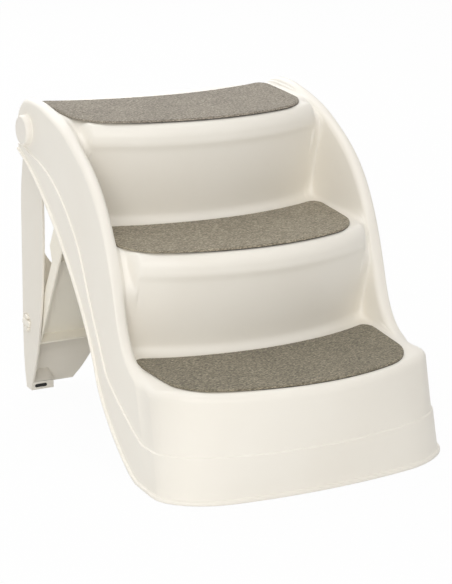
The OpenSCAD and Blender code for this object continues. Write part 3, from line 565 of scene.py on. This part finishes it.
# Columns across: flat of the tread, turn, fillet, wall and crest roll
quarter = np.radians(np.linspace(0, 90, 8))
zones = [("flat", t) for t in np.linspace(0, 1, 15)] + [("turn", t) for t in np.linspace(0, 1, 9)[1:]]
zones += [("fillet", a) for a in quarter[1:]] + [("wall", 0.33), ("wall", 0.67)]
zones += [("roll", a) for a in quarter]
halfCols = len(zones)
edgeWide = crestX - wallX + treadFillet
edgeTurn = 2 * math.atan(crestDrop / edgeWide)
half = np.zeros((rowCount, halfCols, 3))
for v in range(rowCount):
    lift = crestRow[v] - footLine[v]
    h = float(np.linalg.norm(lift))
    way = lift / h if h > 1e-6 else np.array([0.0, 1.0])
    flatEnd = turnX[v]
    startX = wallX - fillet[v]
    filletUp, rollUp = min(fillet[v], 0.45 * h), min(crestRadius, 0.45 * h)
    rollFrom = crestX - crestRadius
    for c, (zone, t) in enumerate(zones):
        if zone == "flat":
            x0, up = flatEnd * t, 0
        elif zone == "turn":
            x0, up = lerp(flatEnd, startX, t), 0
        elif zone == "fillet":
            x0, up = startX + fillet[v] * math.sin(t), filletUp * (1 - math.cos(t))
        elif zone == "wall":
            x0, up = lerp(wallX, rollFrom, t), lerp(filletUp, h - rollUp, t)
        else:
            x0, up = crestX - crestRadius * math.cos(t), h - rollUp + rollUp * math.sin(t)
        if way[1] < 0:
            w = min(max((x0 - startX) / (crestX - startX), 0), 1)
            up = h * (1 - math.sqrt(1 - (math.sin(edgeTurn) * w) ** 2)) / (1 - math.cos(edgeTurn))
        x = x0 if x0 <= cornerX else cornerX + (x0 - cornerX) * endShare[v]
        y = line[v, 0] + share[v] * float(bow(min(x, wallX))) + amount[v] * float(cornerY(x))
        turned = footLine[v] - sideLine[v]
        part = min(max((x0 - flatEnd) / (startX - flatEnd), 0), 1)
        mixed = lerp(float(ease(part)), part * part, lipShare[v])
        q = np.array([y, line[v, 1]]) + turned * mixed + way * up
        half[v, c] = (x, q[0], q[1])
mirrorX = np.array([-1, 1, 1])
for c, (zone, t) in enumerate(zones):
    if zone != "flat":
        soft = {"turn": float(ease(t)), "fillet": 1, "wall": 1, "roll": 1}[zone]
        half[:, c] = evened(half[:, c], spacing(half[:, c]), 1 + even["columns"] * soft, firmRows)
grid = np.concatenate([half[:, :0:-1] * mirrorX, half], axis=1)
cols = grid.shape[1]

# Lower edge of the outer wall: the ground line and the rim that climbs to the pivot
baseHalf = halfWidth - shell["bead"]
baseFront = frontY - shell["noseIn"] + shell["bead"]


def baseY(x):
    x = np.abs(np.asarray(x, float))
    t = np.clip((x - (baseHalf - shell["baseCornerWidth"])) / shell["baseCornerWidth"], 0, 1)
    return (baseFront + shell["baseBow"] - np.sqrt(shell["baseBow"] ** 2 - x * x)
            + shell["baseCornerDepth"] * (1 - np.sqrt(1 - t * t)))


rimShape = {"midShares": (1.6, 0.74), "midAngle": 68, "lowShare": 0.756, "lowAngle": 12, "lowPull": 0.27,
            "midPull": 0.28, "topShares": (0.78, -0.6), "topAngle": 15, "upPull": 0.73, "topPull": 0.69}
rimMid = [frontY + rimShape["midShares"][0] * going, rimShape["midShares"][1] * rise]
rimLow = [frontY + rimShape["lowShare"] * going, 0]
rimTop = pivot + np.array(rimShape["topShares"]) * wingRadius
rimUpper = bezier(sweep(rimMid, rimShape["midAngle"], rimShape["upPull"] * rise,
                        rimTop, rimShape["topAngle"], rimShape["topPull"] * going), 200)[:191]
rimLower = bezier(sweep(rimLow, rimShape["lowAngle"], rimShape["lowPull"] * going,
                        rimMid, rimShape["midAngle"], rimShape["midPull"] * rise), 80)
rim = np.concatenate([[[float(baseY(baseHalf)), 0]], rimLower[:-1], rimUpper])
rimLong = lengthsOf(rim)
firstSide = markAt[cornerMark]
sideCrest = half[firstSide:, -1, 1:]
sideLong = lengthsOf(sideCrest)
rimShare = sideLong / sideLong[-1] * rimLong[-1]
rimPoints = alongLine(rimShare, rimLong, rim)
baseShares = [0.965, 0.98, 0.992, 1]
baseShare = monotone(cornerShares[:4], baseShares, endShare)


def outwardAt(x, inCorner):
    side = np.where(inCorner, cornerPart(x), np.abs(x) / bowRadius)
    ahead = -np.sqrt(np.maximum(1 - side * side, 0))
    return columns(side * np.sign(x), ahead, np.zeros_like(side))


sidePoints = half[:, -1]
sideBase = np.zeros((rowCount, 3))
sideBase[firstSide:, 0] = baseHalf
sideBase[:firstSide, 0] = baseHalf * baseShare[:firstSide]
sideBase[:firstSide, 1] = baseY(sideBase[:firstSide, 0])
sideBase[firstSide:, 1:] = rimPoints
sideOut = outwardAt(sidePoints[:, 0], np.full(rowCount, True))
sideOut[firstSide:] = (1, 0, 0)
frontPoints = grid[0, 1:-1]
frontX = frontPoints[:, 0]
frontBaseX = frontX * baseHalf * baseShares[0] / half[0, -1, 0]
frontBase = columns(frontBaseX, baseY(frontBaseX), np.zeros(len(frontX)))
frontOut = outwardAt(frontX, np.abs(frontX) > cornerX)
frontTurn = np.clip((np.abs(frontX) - cornerX) / (crestX - cornerX), 0, 1)


def aroundLoop(side, front, flip=mirrorX):  # from the left end of the rim round the front to the right end
    return np.concatenate([(side * flip)[::-1], front, side])


edgeTop, edgeBase = aroundLoop(sidePoints, frontPoints), aroundLoop(sideBase, frontBase)
edgeOut, edgeSide = aroundLoop(sideOut, frontOut), aroundLoop(endShare, frontTurn, 1)
loopCount = len(edgeTop)
loopLong = lengthsOf(edgeTop)
facing = evened(np.unwrap(np.arctan2(edgeOut[:, 1], edgeOut[:, 0])), spacing(edgeTop), even["facing"])
edgeOut = columns(np.cos(facing), np.sin(facing), np.zeros(loopCount))
fromMiddle = np.abs(loopLong - loopLong[-1] / 2)
sideFrom = loopLong[loopCount - 1 - rowCount + firstSide] - loopLong[-1] / 2
firmLoop = ease((fromMiddle - sideFrom - even["baseFrom"]) / even["baseFirm"])
edgeBase = evened(edgeBase, spacing(edgeTop), even["base"], firmLoop)

skirt = {"rollOut": 0.8, "rollDown": 0.6, "bandMost": 0.82, "beadMost": 0.2,
         "overBand": 1.9, "underBand": 1.1, "overBead": 5.6,
         "bandEdge": ((-1.3, 0.02), (-0.9, 0.2), (-0.45, 0.62), (-0.1, 0.9), (0.35, 1.0), (1.1, 1.0)),
         "beadEdge": ((-5.2, 0.02), (-4.95, 0.2), (-4.6, 0.6), (-4.1, 0.88), (-3.3, 1), (-1.4, 1),
                      (-0.6, 0.95), (0, 0.72))}
span = edgeBase - edgeTop
outBy = np.sum(span * edgeOut, axis=1)
rest = span - edgeOut * outBy[:, None]
run = np.linalg.norm(rest, axis=1)
lowShare = np.clip((firstRise - edgeTop[:, 2]) / crestDrop, 0, 1)
startTurn = edgeTurn * lowShare
roll = lerp(lerp(shell["frontRadius"], crestRadius, edgeSide), shell["sideRadius"], lowShare)
roll = np.minimum(roll, np.minimum(skirt["rollOut"] * outBy, skirt["rollDown"] * run))
rollOut, rollDown = roll * (1 - np.sin(startTurn)), roll * np.cos(startTurn)
free = run - rollDown
# Places along the rim, and how wide the band is at each
bandShares = [0, 0.107, 0.222, 0.304, 0.40, 0.474, 0.516, 0.557, 0.603, 0.652, 0.717, 0.764, 0.804, 0.849,
              0.896, 0.949, 1]
bandWides = [54, 51, 42.5, 33, 20.5, 20, 22.5, 26, 32, 37, 38, 37.4, 35, 30.5, 23, 13, 8]


def bandOn(start, end):  # how far up from the rim the wall line crosses the band's edge
    t = np.linspace(0, 0.85, 240)
    points = end + (start - end) * t[:, None]
    apart = np.linalg.norm(points[:, None] - rim[None, ::3], axis=2)
    nearest = apart.argmin(axis=1)
    over = apart.min(axis=1) - monotone(bandShares, bandWides, (rimLong[::3] / rimLong[-1])[nearest])
    k = int(np.argmax(over > 0))
    crossing = 0.5 if k == 0 else lerp(t[k - 1], t[k], over[k - 1] / (over[k - 1] - over[k]))
    return float(crossing) * float(np.linalg.norm(start - end))


bandHeight = float(shell["bandHeight"])
sideBand = np.full(rowCount, bandHeight)
for v in range(firstSide, rowCount):
    sideBand[v] = bandOn(half[v, -1, 1:], rimPoints[v - firstSide])
sideBand[firstSide:] = evened(sideBand[firstSide:], spacing(sideCrest), even["band"])
sideBand = lerp(bandHeight, sideBand, ease((rowNumbers - firstSide) / even["bandRows"]))
band = aroundLoop(sideBand, np.full(len(frontX), bandHeight), 1)
band = np.minimum(band, skirt["bandMost"] * free)
small = np.minimum(shell["beadHeight"], skirt["beadMost"] * free) / shell["beadHeight"]


def faceOut(down):
    t = np.clip((down - rollDown) / np.maximum(free, 1), 0, 1)
    return lerp(rollOut, outBy - shell["bandStep"], t)


bandTop = run - band
aboveBand, underBand = bandTop - skirt["overBand"] * small, bandTop + skirt["underBand"] * small
aboveBead = run - skirt["overBead"] * small
downs = [(lerp(rollDown, aboveBand, t), 0, 0) for t in np.linspace(0, 1, 7)[1:]]
downs += [(bandTop + step * small, stand, 0) for step, stand in skirt["bandEdge"]]
downs += [(lerp(underBand, aboveBead, t), 1, 0) for t in np.linspace(0, 1, 6)[1:]]
downs += [(run + step * small, 1, stand) for step, stand in skirt["beadEdge"]]
levels = []  # down the wall: distance down, distance out, extra for the band and the bead
for t in np.linspace(0, 1, 8)[1:]:
    a = lerp(startTurn, math.pi / 2, t)
    levels.append((roll * (np.cos(startTurn) - np.cos(a)), roll * (np.sin(a) - np.sin(startTurn)), 0))
for down, onBand, onBead in downs:
    levels.append((down, faceOut(down), onBand * shell["bandStep"] + onBead * shell["bead"]))
skirtRows = len(levels)


def skirtPoints(dressed):
    rows = []
    for down, out, extra in levels:
        reach = out + (extra if dressed else 0)
        rows.append(edgeTop + edgeOut * np.reshape(reach, (-1, 1)) + rest * (down / run)[:, None])
    return np.concatenate(rows)


gridCount = rowCount * cols
loopIds = np.concatenate([[(rowCount - 1 - k) * cols for k in range(rowCount)], np.arange(1, cols - 1),
                          [v * cols + cols - 1 for v in range(rowCount)]])


def rowIds(j):
    return loopIds if j == 0 else gridCount + (j - 1) * loopCount + np.arange(loopCount)


def strip(a, b):  # faces between two rows of points
    return columns(a[:-1], b[:-1], b[1:], a[1:])


skirtFaces = [strip(rowIds(j), rowIds(j + 1)) for j in range(skirtRows)]
faces = np.concatenate([gridFaces(rowCount, cols)] + skirtFaces)
plain = np.concatenate([grid.reshape(-1, 3), skirtPoints(False)])
dressed = np.concatenate([grid.reshape(-1, 3), skirtPoints(True)])
normals = np.zeros_like(plain)
faceNormals = np.cross(plain[faces[:, 2]] - plain[faces[:, 0]], plain[faces[:, 3]] - plain[faces[:, 1]])
for corner in range(4):
    np.add.at(normals, faces[:, corner], faceNormals)
levelFrom, levelTo = skirtRows - 12, skirtRows - 7  # towards the rim the wall's thickness turns level
for j in range(levelFrom, skirtRows + 1):
    normals[rowIds(j), 2] *= max(0, (levelTo - j) / (levelTo - levelFrom))
inner = plain - wall * unit(normals)
count = len(plain)
faces = [faces, faces[:, ::-1] + count]
edges = [rowIds(skirtRows), np.arange(gridCount - cols, gridCount)]
edges += [np.array([rowIds(j)[k] for j in range(skirtRows + 1)]) for k in (0, loopCount - 1)]
for edge in edges:
    faces.append(strip(edge, edge + count))
stairShell = newPiece("stairShell", np.concatenate([dressed, inner]), np.concatenate(faces), sharp=58)
settle(stairShell, "stairs", "plastic", finishes["shell"], "stair_shell")
print("stairs: shell with", len(stairShell.data.polygons), "faces")


# Turned and cut pieces
def lathe(centre, profile, side, segments=80):  # profile: (distance across, radius)
    points, rings = [], []
    for x, r in profile:
        if r < 1e-6:
            rings.append([len(points)] * segments)
            points.append((side * x, centre[0], centre[1]))
            continue
        rings.append(list(range(len(points), len(points) + segments)))
        for i in range(segments):
            a = 2 * math.pi * i / segments
            points.append((side * x, centre[0] + r * math.cos(a), centre[1] + r * math.sin(a)))
    made = []
    for a, b in zip(rings[:-1], rings[1:]):
        for i in range(segments):
            j = (i + 1) % segments
            face = list(dict.fromkeys([a[i], a[j], b[j], b[i]]))
            if len(face) > 2:
                made.append(face)
    return points, made


def rounded(corners, radius, n=4):  # profile with its corners rounded
    out = [corners[0]]
    for before, at, after in zip(corners[:-2], corners[1:-1], corners[2:]):
        before, at, after = (np.array(p, float) for p in (before, at, after))
        r = min(radius, np.linalg.norm(before - at) * 0.45, np.linalg.norm(after - at) * 0.45)
        a, b = at + unit(before - at) * r, at + unit(after - at) * r
        for t in np.linspace(0, 1, n + 1):
            out.append(tuple(a * (1 - t) ** 2 + 2 * at * t * (1 - t) + b * t * t))
    return out + [corners[-1]]


def joined(name, parts, sharp=40):
    points, made = [], []
    for p, f in parts:
        start = len(points)
        points.extend(p)
        made.extend([[i + start for i in face] for face in f])
    return newPiece(name, points, made, sharp=sharp)


sides = {"left": -1, "right": 1}
caps = {"radius": 19.5, "faceRadius": 16.6, "seat": 191, "stand": 7.5, "base": 2.2, "sink": 3, "pinRadius": 6,
        "bossRadius": 14, "legGap": 4.5}
legHalf = caps["seat"] - wall - caps["legGap"]


def capProfile():
    low, edge, face = caps["seat"] - caps["sink"], caps["seat"] + caps["stand"], caps["faceRadius"]
    bend = [(lerp(caps["seat"] + caps["base"], edge, math.sin(t)), lerp(face, caps["radius"], math.cos(t)))
            for t in quarter]
    middle = [(edge, face - 1.2), (edge - 0.05, face * 0.6), (edge - 0.05, 0)]
    return [(low, 0), (low, caps["radius"])] + bend + middle


def washer(x0, x1, r0, r1, bend, side):  # ring about the pivot with rounded edges
    return lathe(pivot, rounded([(x0, r0), (x0, r1), (x1, r1), (x1, r0), (x0, r0)], bend), side)


for word, side in sides.items():
    cap = joined(word + "Cap", [lathe(pivot, capProfile(), side)], sharp=50)
    settle(cap, "stairs", "plastic", finishes["cap"], word + "_cap")

seat, radius, hole = caps["seat"], caps["radius"], caps["pinRadius"] + 0.1
bossParts = []
for side in sides.values():
    bossParts.append(washer(seat - 4, seat - 0.05, radius - 4, radius + 1, 0.6, side))
    bossParts.append(washer(legHalf + 0.5, seat - 1.5, hole, caps["bossRadius"], 0.7, side))
settle(joined("pivotBosses", bossParts), "stairs", "plastic", finishes["shell"])

# Catch ribs behind the top riser, which hold the top of the brace
brace = {"z": 92, "in": 14.5, "tilt": 28, "long": 236, "reach": 37, "earDeep": 33}
ribs = {"x": 45, "deep": 7, "high": 10, "play": 0.5}
bracePivot = np.array([depth / 2 - brace["in"], brace["z"]])


def bracePlace(w, u):
    a = math.radians(brace["tilt"])
    return bracePivot + u * np.array([-math.sin(a), math.cos(a)]) - w * np.array([math.cos(a), math.sin(a)])


def plate(outline, x0, x1, chamfer):
    outline = np.asarray(outline, float)
    n = len(outline)
    following = np.roll(outline, -1, axis=0)
    before, after = unit(outline - np.roll(outline, 1, axis=0)), unit(following - outline)
    turn = np.sign(np.sum(outline[:, 0] * following[:, 1] - following[:, 0] * outline[:, 1]))
    inward = unit(columns(-(before + after)[:, 1], (before + after)[:, 0])) * turn
    small = outline + inward * chamfer
    rings = [(x0, small), (x0 + chamfer, outline), (x1 - chamfer, outline), (x1, small)]
    points = [(x, p[0], p[1]) for x, ring in rings for p in ring]
    return points, tubeFaces(n, len(rings))


def ribOutline():
    tip = brace["reach"] - brace["earDeep"] + 4 * wall
    top = treadZ[2] - wall / 2
    low = brace["long"] - wall - ribs["play"]
    deepX = float(bow(ribs["x"]))

    def riserBack(z):
        return noseY[2] + overhang - (z - treadZ[1]) * math.tan(lean) + deepX + wall / 2

    riserTop = treadZ[2] - lipHeight - lipRun
    end = bracePlace(tip + wall / 2, brace["long"] + ribs["high"])
    riserLow = treadZ[1] + footRadius
    return [bracePlace(tip - ribs["deep"], low - ribs["high"]), bracePlace(tip - ribs["deep"], low),
            bracePlace(tip + wall / 2, low), end, [end[0], top], [noseY[2] + noseRadius + deepX, top],
            [riserBack(riserTop), riserTop], [riserBack(riserLow), riserLow]]


def bothSides(outline, x0, x1, chamfer=0.5):
    return [plate(outline, *sorted((side * x0, side * x1)), chamfer) for side in sides.values()]


ribPlates = bothSides(ribOutline(), ribs["x"], ribs["x"] + wall)
settle(joined("catchRibs", ribPlates), "stairs", "plastic", finishes["shell"])
print("stairs: caps, bosses and catch ribs")

# Carpets: a dense sheet with rolled edges and a short uneven pile
rng = np.random.default_rng(7)
carpet = {"backing": 0.8, "thick": 2.6, "border": 11, "frontRound": 40, "rearRound": 13, "rearGap": 16,
          "backGap": 40, "taper": 8, "gap": 1, "rearBow": 0.78, "cell": 1.7, "edge": 2.0, "edgeShare": 0.3,
          "pile": 0.3, "leftMore": 7.5, "leftRound": 31, "leftTaper": 4, "endWide": 26, "endCols": 24}
carpetHalf = wallX - treadFillet - carpet["gap"]


def carpetFront(x, y0, rear):
    size = np.where(x < 0, carpet["leftRound"], carpet["frontRound"])
    endAt = carpetHalf - np.where(x < 0, carpet["leftTaper"], carpet["taper"])
    x = np.abs(x)
    startAt = endAt - 1.15 * size
    a = np.arcsin(np.clip((x - startAt) / (endAt - startAt), 0, 1))
    edge = y0 + bow(np.minimum(x, endAt)) + size * (1 - np.cos(a))
    past = np.clip((x - endAt) / (carpetHalf - endAt), 0, 1)
    return np.minimum(lerp(edge, rear[0], past), rear - 0.02)


def carpetRear(x, y1):
    x = np.abs(x)
    startAt = carpetHalf - carpet["rearRound"]
    a = np.arcsin(np.clip((x - startAt) / carpet["rearRound"], 0, 1))
    return y1 + carpet["rearBow"] * bow(np.minimum(x, startAt)) - carpet["rearRound"] * (1 - np.cos(a))


def makeCarpet(word, i, y1):
    y0 = noseY[i] + carpet["border"]
    wide, endCols = carpet["endWide"], carpet["endCols"]
    middle = np.linspace(0, carpetHalf - wide, int(carpetHalf / carpet["cell"]) + 2 - endCols)
    ends = carpetHalf - wide * np.cos(np.linspace(0, math.pi / 2, endCols))[1:]
    xs = np.concatenate([-ends[::-1], -middle[:0:-1], middle, ends])
    rear = carpetRear(xs, y1)
    front = carpetFront(xs, y0, rear)
    t = np.linspace(0, 1, int((y1 - y0) / carpet["cell"]) + 1)
    t = lerp(t, ease(t), 0.35)
    px = np.repeat(xs[None, :], len(t), axis=0)
    py = front[None, :] + (rear - front)[None, :] * t[:, None]
    border = np.concatenate([columns(xs, front), columns(xs, rear)[::-1]])
    flat = columns(px.ravel(), py.ravel())
    near = np.full(len(flat), 1e9)
    for a, b in zip(border, np.roll(border, -1, axis=0)):
        d = b - a
        size = float(d @ d)
        u = np.clip(((flat - a) @ d) / size, 0, 1) if size > 1e-12 else np.zeros(len(flat))
        near = np.minimum(near, np.hypot(*(flat - a - u[:, None] * d).T))
    low = treadZ[i] + carpet["backing"]
    inside = np.clip(near / carpet["edge"], 0, 1)
    height = carpet["thick"] * lerp(carpet["edgeShare"], 1, np.sqrt(1 - (1 - inside) ** 2))
    tufts = rng.normal(0, 1, px.shape)
    tufts = 0.6 * tufts + 0.4 * (np.roll(tufts, 1, 0) + np.roll(tufts, 1, 1)) / 2
    lane = np.sin(px / 21 + 2.1 * i) * np.sin(py / 17 + 0.7 * i)
    uneven = (np.clip(tufts, -2, 2) / 2 + 0.25 * lane).ravel() * np.clip(near / 1.5, 0, 1)
    height = height + carpet["pile"] * uneven
    jitter = rng.uniform(-0.35, 0.35, flat.shape) * np.clip(near / 3, 0, 1)[:, None]
    flat = flat + jitter
    flat[:, 0] -= carpet["leftMore"] * ease((-flat[:, 0] - 40) / 70)
    top = np.concatenate([flat, (low + height)[:, None]], axis=1)
    ids = np.arange(len(flat)).reshape(px.shape)
    made = gridFaces(*px.shape).tolist()
    ring = np.concatenate([ids[0, :-1], ids[:-1, -1], ids[-1, :0:-1], ids[:0:-1, 0]])
    base = top[ring].copy()
    base[:, 2] = low + 0.02
    start = len(top)
    n = len(ring)
    made += [[int(ring[k]), start + k, start + (k + 1) % n, int(ring[(k + 1) % n])] for k in range(n)]
    made.append([start + k for k in range(n)])
    piece = newPiece(word + "Carpet", np.concatenate([top, base]), made)
    settle(piece, "stairs", "carpet", finishes[word + "Carpet"], word + "_mat")
    flatArea = float(np.sum((rear - front)[:-1] * np.diff(xs)))
    flatArea *= 1 + carpet["leftMore"] / (2 * carpetHalf)


carpetEnds = [y + overhang - carpet["rearGap"] for y in noseY[1:]] + [rearY - carpet["backGap"]]
for i, word in enumerate(("bottom", "middle", "top")):
    makeCarpet(word, i, carpetEnds[i])
finishNodes(finishes["backing"], "top_backing", "middle_backing", "bottom_backing")
print("stairs: carpets laid")


# Leg and brace: the moulded solids with their edges rounded
def softened(name, node, width=0.6, sharp=30):
    mesh = nodes[node].data.copy()
    mesh.name = name
    bm = bmesh.new()
    bm.from_mesh(mesh)
    bmesh.ops.remove_doubles(bm, verts=bm.verts, dist=1e-6)
    bmesh.ops.dissolve_limit(bm, angle_limit=math.radians(0.6), verts=bm.verts, edges=bm.edges)
    bm.to_mesh(mesh)
    bm.free()
    piece = linked(name, mesh)
    bevel = piece.modifiers.new("roundedEdges", "BEVEL")
    bevel.width, bevel.segments = width * mm, 3
    bevel.limit_method, bevel.angle_limit = "ANGLE", math.radians(sharp)
    bevel.use_clamp_overlap, bevel.harden_normals, bevel.miter_outer = False, True, "MITER_ARC"
    bpy.context.view_layer.update()
    made = bpy.data.meshes.new_from_object(piece.evaluated_get(bpy.context.evaluated_depsgraph_get()))
    piece.modifiers.clear()
    piece.data = made
    return piece


settle(softened("rearLeg", "rear_leg"), "leg", "plastic", finishes["leg"], "rear_leg")
settle(softened("braceTray", "brace"), "brace_body", "plastic", finishes["brace"], "brace")


# Clips: a bar across the dish with a rounded knuckle above and below it
clip = {"long": 11.8, "bar": 8.8, "knuckleWide": 5.6, "knuckleHigh": 3.0, "knuckleAt": 8.1, "shaft": 5,
        "barSteps": ((-1.35, 1), (1.0, 1), (1.7, 0.98), (2.1, 0.93), (2.25, 0.84)),
        "knuckleSteps": ((-1.35, 1.05), (-0.2, 1.04), (1.2, 0.98), (1.8, 0.86), (2.1, 0.66), (2.2, 0.4))}


def rounding(long, wide, bend):
    a = np.linspace(0, 2 * math.pi, 49)[:-1]
    return columns(long * np.sign(np.cos(a)) * np.abs(np.cos(a)) ** bend,
                   wide * np.sign(np.sin(a)) * np.abs(np.sin(a)) ** bend)


def button(side, outline, up, steps):  # steps: (stand, size of the outline there)
    centre = bracePivot + np.array([0, up])
    points = [(side * (legHalf + x), *(centre + p * size)) for x, size in steps for p in outline]
    return points, tubeFaces(len(outline), len(steps))


for word, side in sides.items():
    x0, x1, r = legHalf - 2 * wall - 2.5, legHalf - 0.8, clip["shaft"] - 0.05
    shaft = lathe(bracePivot, rounded([(x0, 0), (x0, r), (x1, r), (x1, 0)], 0.5), side, segments=48)
    knuckle = rounding(clip["knuckleWide"], clip["knuckleHigh"], 0.75)
    knuckles = [button(side, knuckle, up * clip["knuckleAt"], clip["knuckleSteps"]) for up in (1, -1)]
    bar = button(side, rounding(clip["long"], clip["bar"] / 2, 0.42), 0, clip["barSteps"])
    head = joined(word + "BraceClip", [shaft, *knuckles, bar])
    settle(head, "leg", "plastic", finishes["clip"], word + "_brace_pin")
finishNodes(finishes["steel"], "left_pin", "right_pin", "left_clip_ring", "right_clip_ring")

# Rubber feet: rounded pads with a tongue in the foot's front slot
feet = {"width": 32, "deep": 17, "slotWidth": 17, "slotHeight": 4.5, "slotZ": 5.5, "slotShare": 0.43,
        "toeIn": 10, "slopeFrom": 11, "slopeTo": 24, "slopeThick": 4,
        "tongue": ((-0.35, 0.5), (-0.2, 0.15), (0.1, 0), (5, 0)),
        "sole": ((0, 0.7), (0.25, 0.2), (0.8, 0), (7.4, 0))}


def stadium(width, height, n=10):
    a = np.radians(np.concatenate([np.linspace(-90, 90, n + 1), np.linspace(90, 270, n + 1)]))
    centre = np.repeat([(width - height) / 2, (height - width) / 2], n + 1)
    return columns(centre + height / 2 * np.cos(a), height / 2 * np.sin(a))


def pad(outline, levels, put):
    points = [put(p, d) for d, size in levels for p in outline - np.sign(outline) * size]
    return points, tubeFaces(len(outline), len(levels))


toeFront = depth / 2 - feet["toeIn"] - feet["deep"]
toeBack = depth / 2 - wall - 1.5
slopeLow, slopeHigh = feet["slopeFrom"], feet["slopeTo"]
slopeLine = [[toeFront, slopeLow], [toeFront, slopeLow + 1], [toeBack, slopeHigh],
             [toeBack, slopeHigh - feet["slopeThick"]], [depth / 2 - 4 * wall, slopeLow]]
toePlates = bothSides(slopeLine, legHalf - feet["width"], legHalf - wall + 0.5, 0.3)
settle(joined("footSlopes", toePlates), "leg", "plastic", finishes["leg"])
slotX = legHalf - feet["slotShare"] * feet["width"]
slotWide, slotHigh = feet["slotWidth"] - 0.2, feet["slotHeight"]
for word, side in sides.items():
    tongue = pad(stadium(slotWide, slotHigh - 0.2), feet["tongue"],
                 lambda p, d: (side * (slotX + p[0]), toeFront + d, feet["slotZ"] + p[1]))
    sole = pad(stadium(slotWide, 2 * slotHigh - 0.2), feet["sole"],
               lambda p, d: (side * (slotX + p[0]), toeFront + feet["deep"] / 2 + p[1], d))
    foot = joined(word + "RubberFoot", [tongue, sole])
    settle(foot, "leg", "foot_rubber", finishes["rubber"], word + "_leg_foot")
print("stairs: leg, brace, clips and feet")


# Stage: a pale floor, white behind, and soft lamps
stage = {"floor": 7, "floorGlow": 0.97, "ambient": 0.4, "aim": (0, 0, 0.2)}


def seenByCamera(tree):
    path = addNode(tree, "ShaderNodeLightPath", (-500, 400)).outputs
    first = reckon(tree, "MAXIMUM", path["Is Camera Ray"], path["Is Glossy Ray"], (-300, 400))
    return reckon(tree, "MAXIMUM", first, path["Is Transmission Ray"], (-150, 400))


def blendSurface(tree, output, *parts):  # parts: amount, then the two surfaces
    mix = addNode(tree, "ShaderNodeMixShader", (300, 0), dict(enumerate(parts)))
    setInputs(tree, tree.nodes[output], {"Surface": mix.outputs[0]})


def makeFloor():
    size = stage["floor"] / mm
    steps = np.linspace(-size, size, 9)
    points = [(x, y, -0.3) for y in steps for x in steps]
    floor = newPiece("floor", points, gridFaces(len(steps), len(steps)))
    material, tree, shader = newMaterial("paleFloor")
    grain = noise(tree, (-700, 0), Vector=objectPlace(tree), Scale=3, Detail=3)
    amount = spread(tree, grain, 0.3, 0.7, 0, 1, (-480, 0))
    tint = mixColours(tree, amount, (0.78, 0.78, 0.775, 1), (0.8, 0.8, 0.795, 1), (-260, 0))
    setInputs(tree, shader, {"Base Color": tint, "Roughness": 0.9, "Specular IOR Level": 0.0})
    glow = addNode(tree, "ShaderNodeEmission", (0, -300), {"Strength": 1.0})
    seen = reckon(tree, "MULTIPLY", seenByCamera(tree), stage["floorGlow"], (0, 300))
    blendSurface(tree, "Material Output", seen, shader.outputs[0], glow.outputs[0])
    floor.data.materials.append(material)


def makeSky():
    sky = bpy.data.worlds.new("studioWhite")
    studio.world = sky
    sky.use_nodes = True
    tree = sky.node_tree
    soft = tree.nodes["Background"]
    setInputs(tree, soft, {"Color": (1.0, 0.985, 0.96, 1), "Strength": stage["ambient"]})
    white = addNode(tree, "ShaderNodeBackground", (0, -200), {"Color": (1, 1, 1, 1), "Strength": 1.0})
    blendSurface(tree, "World Output", seenByCamera(tree), soft.outputs[0], white.outputs[0])


lamps = {
    "keyLamp": {"where": (-1.45, -2.5, 1.1), "size": 1.8, "power": 36, "colour": (1, 0.99, 0.965)},
    "sideLamp": {"where": (-2.9, -0.5, 1.3), "size": 3.2, "power": 11, "colour": (1, 0.99, 0.965)},
    "rightLamp": {"where": (2.2, -1.85, 1.5), "size": 3.2, "power": 2.5, "colour": (1, 0.99, 0.97)},
    "topLamp": {"where": (0, -0.2, 3.3), "size": 2.4, "power": 26, "colour": (1, 0.99, 0.98)},
    "backLamp": {"where": (0, 2.45, 2.2), "size": 3.2, "power": 58, "colour": (0.98, 0.99, 1)},
}


def makeLamp(name, lamp):
    data = bpy.data.lights.new(name, "AREA")
    data.shape = "RECTANGLE"
    data.size = data.size_y = lamp["size"]
    data.energy, data.color = lamp["power"], lamp["colour"]
    made = linked(name, data)
    made.location = lamp["where"]
    towards = Vector(stage["aim"]) - Vector(lamp["where"])
    made.rotation_euler = towards.to_track_quat("-Z", "Y").to_euler()


makeFloor()
makeSky()
for name, lamp in lamps.items():
    makeLamp(name, lamp)
studio.view_settings.view_transform = "Standard"
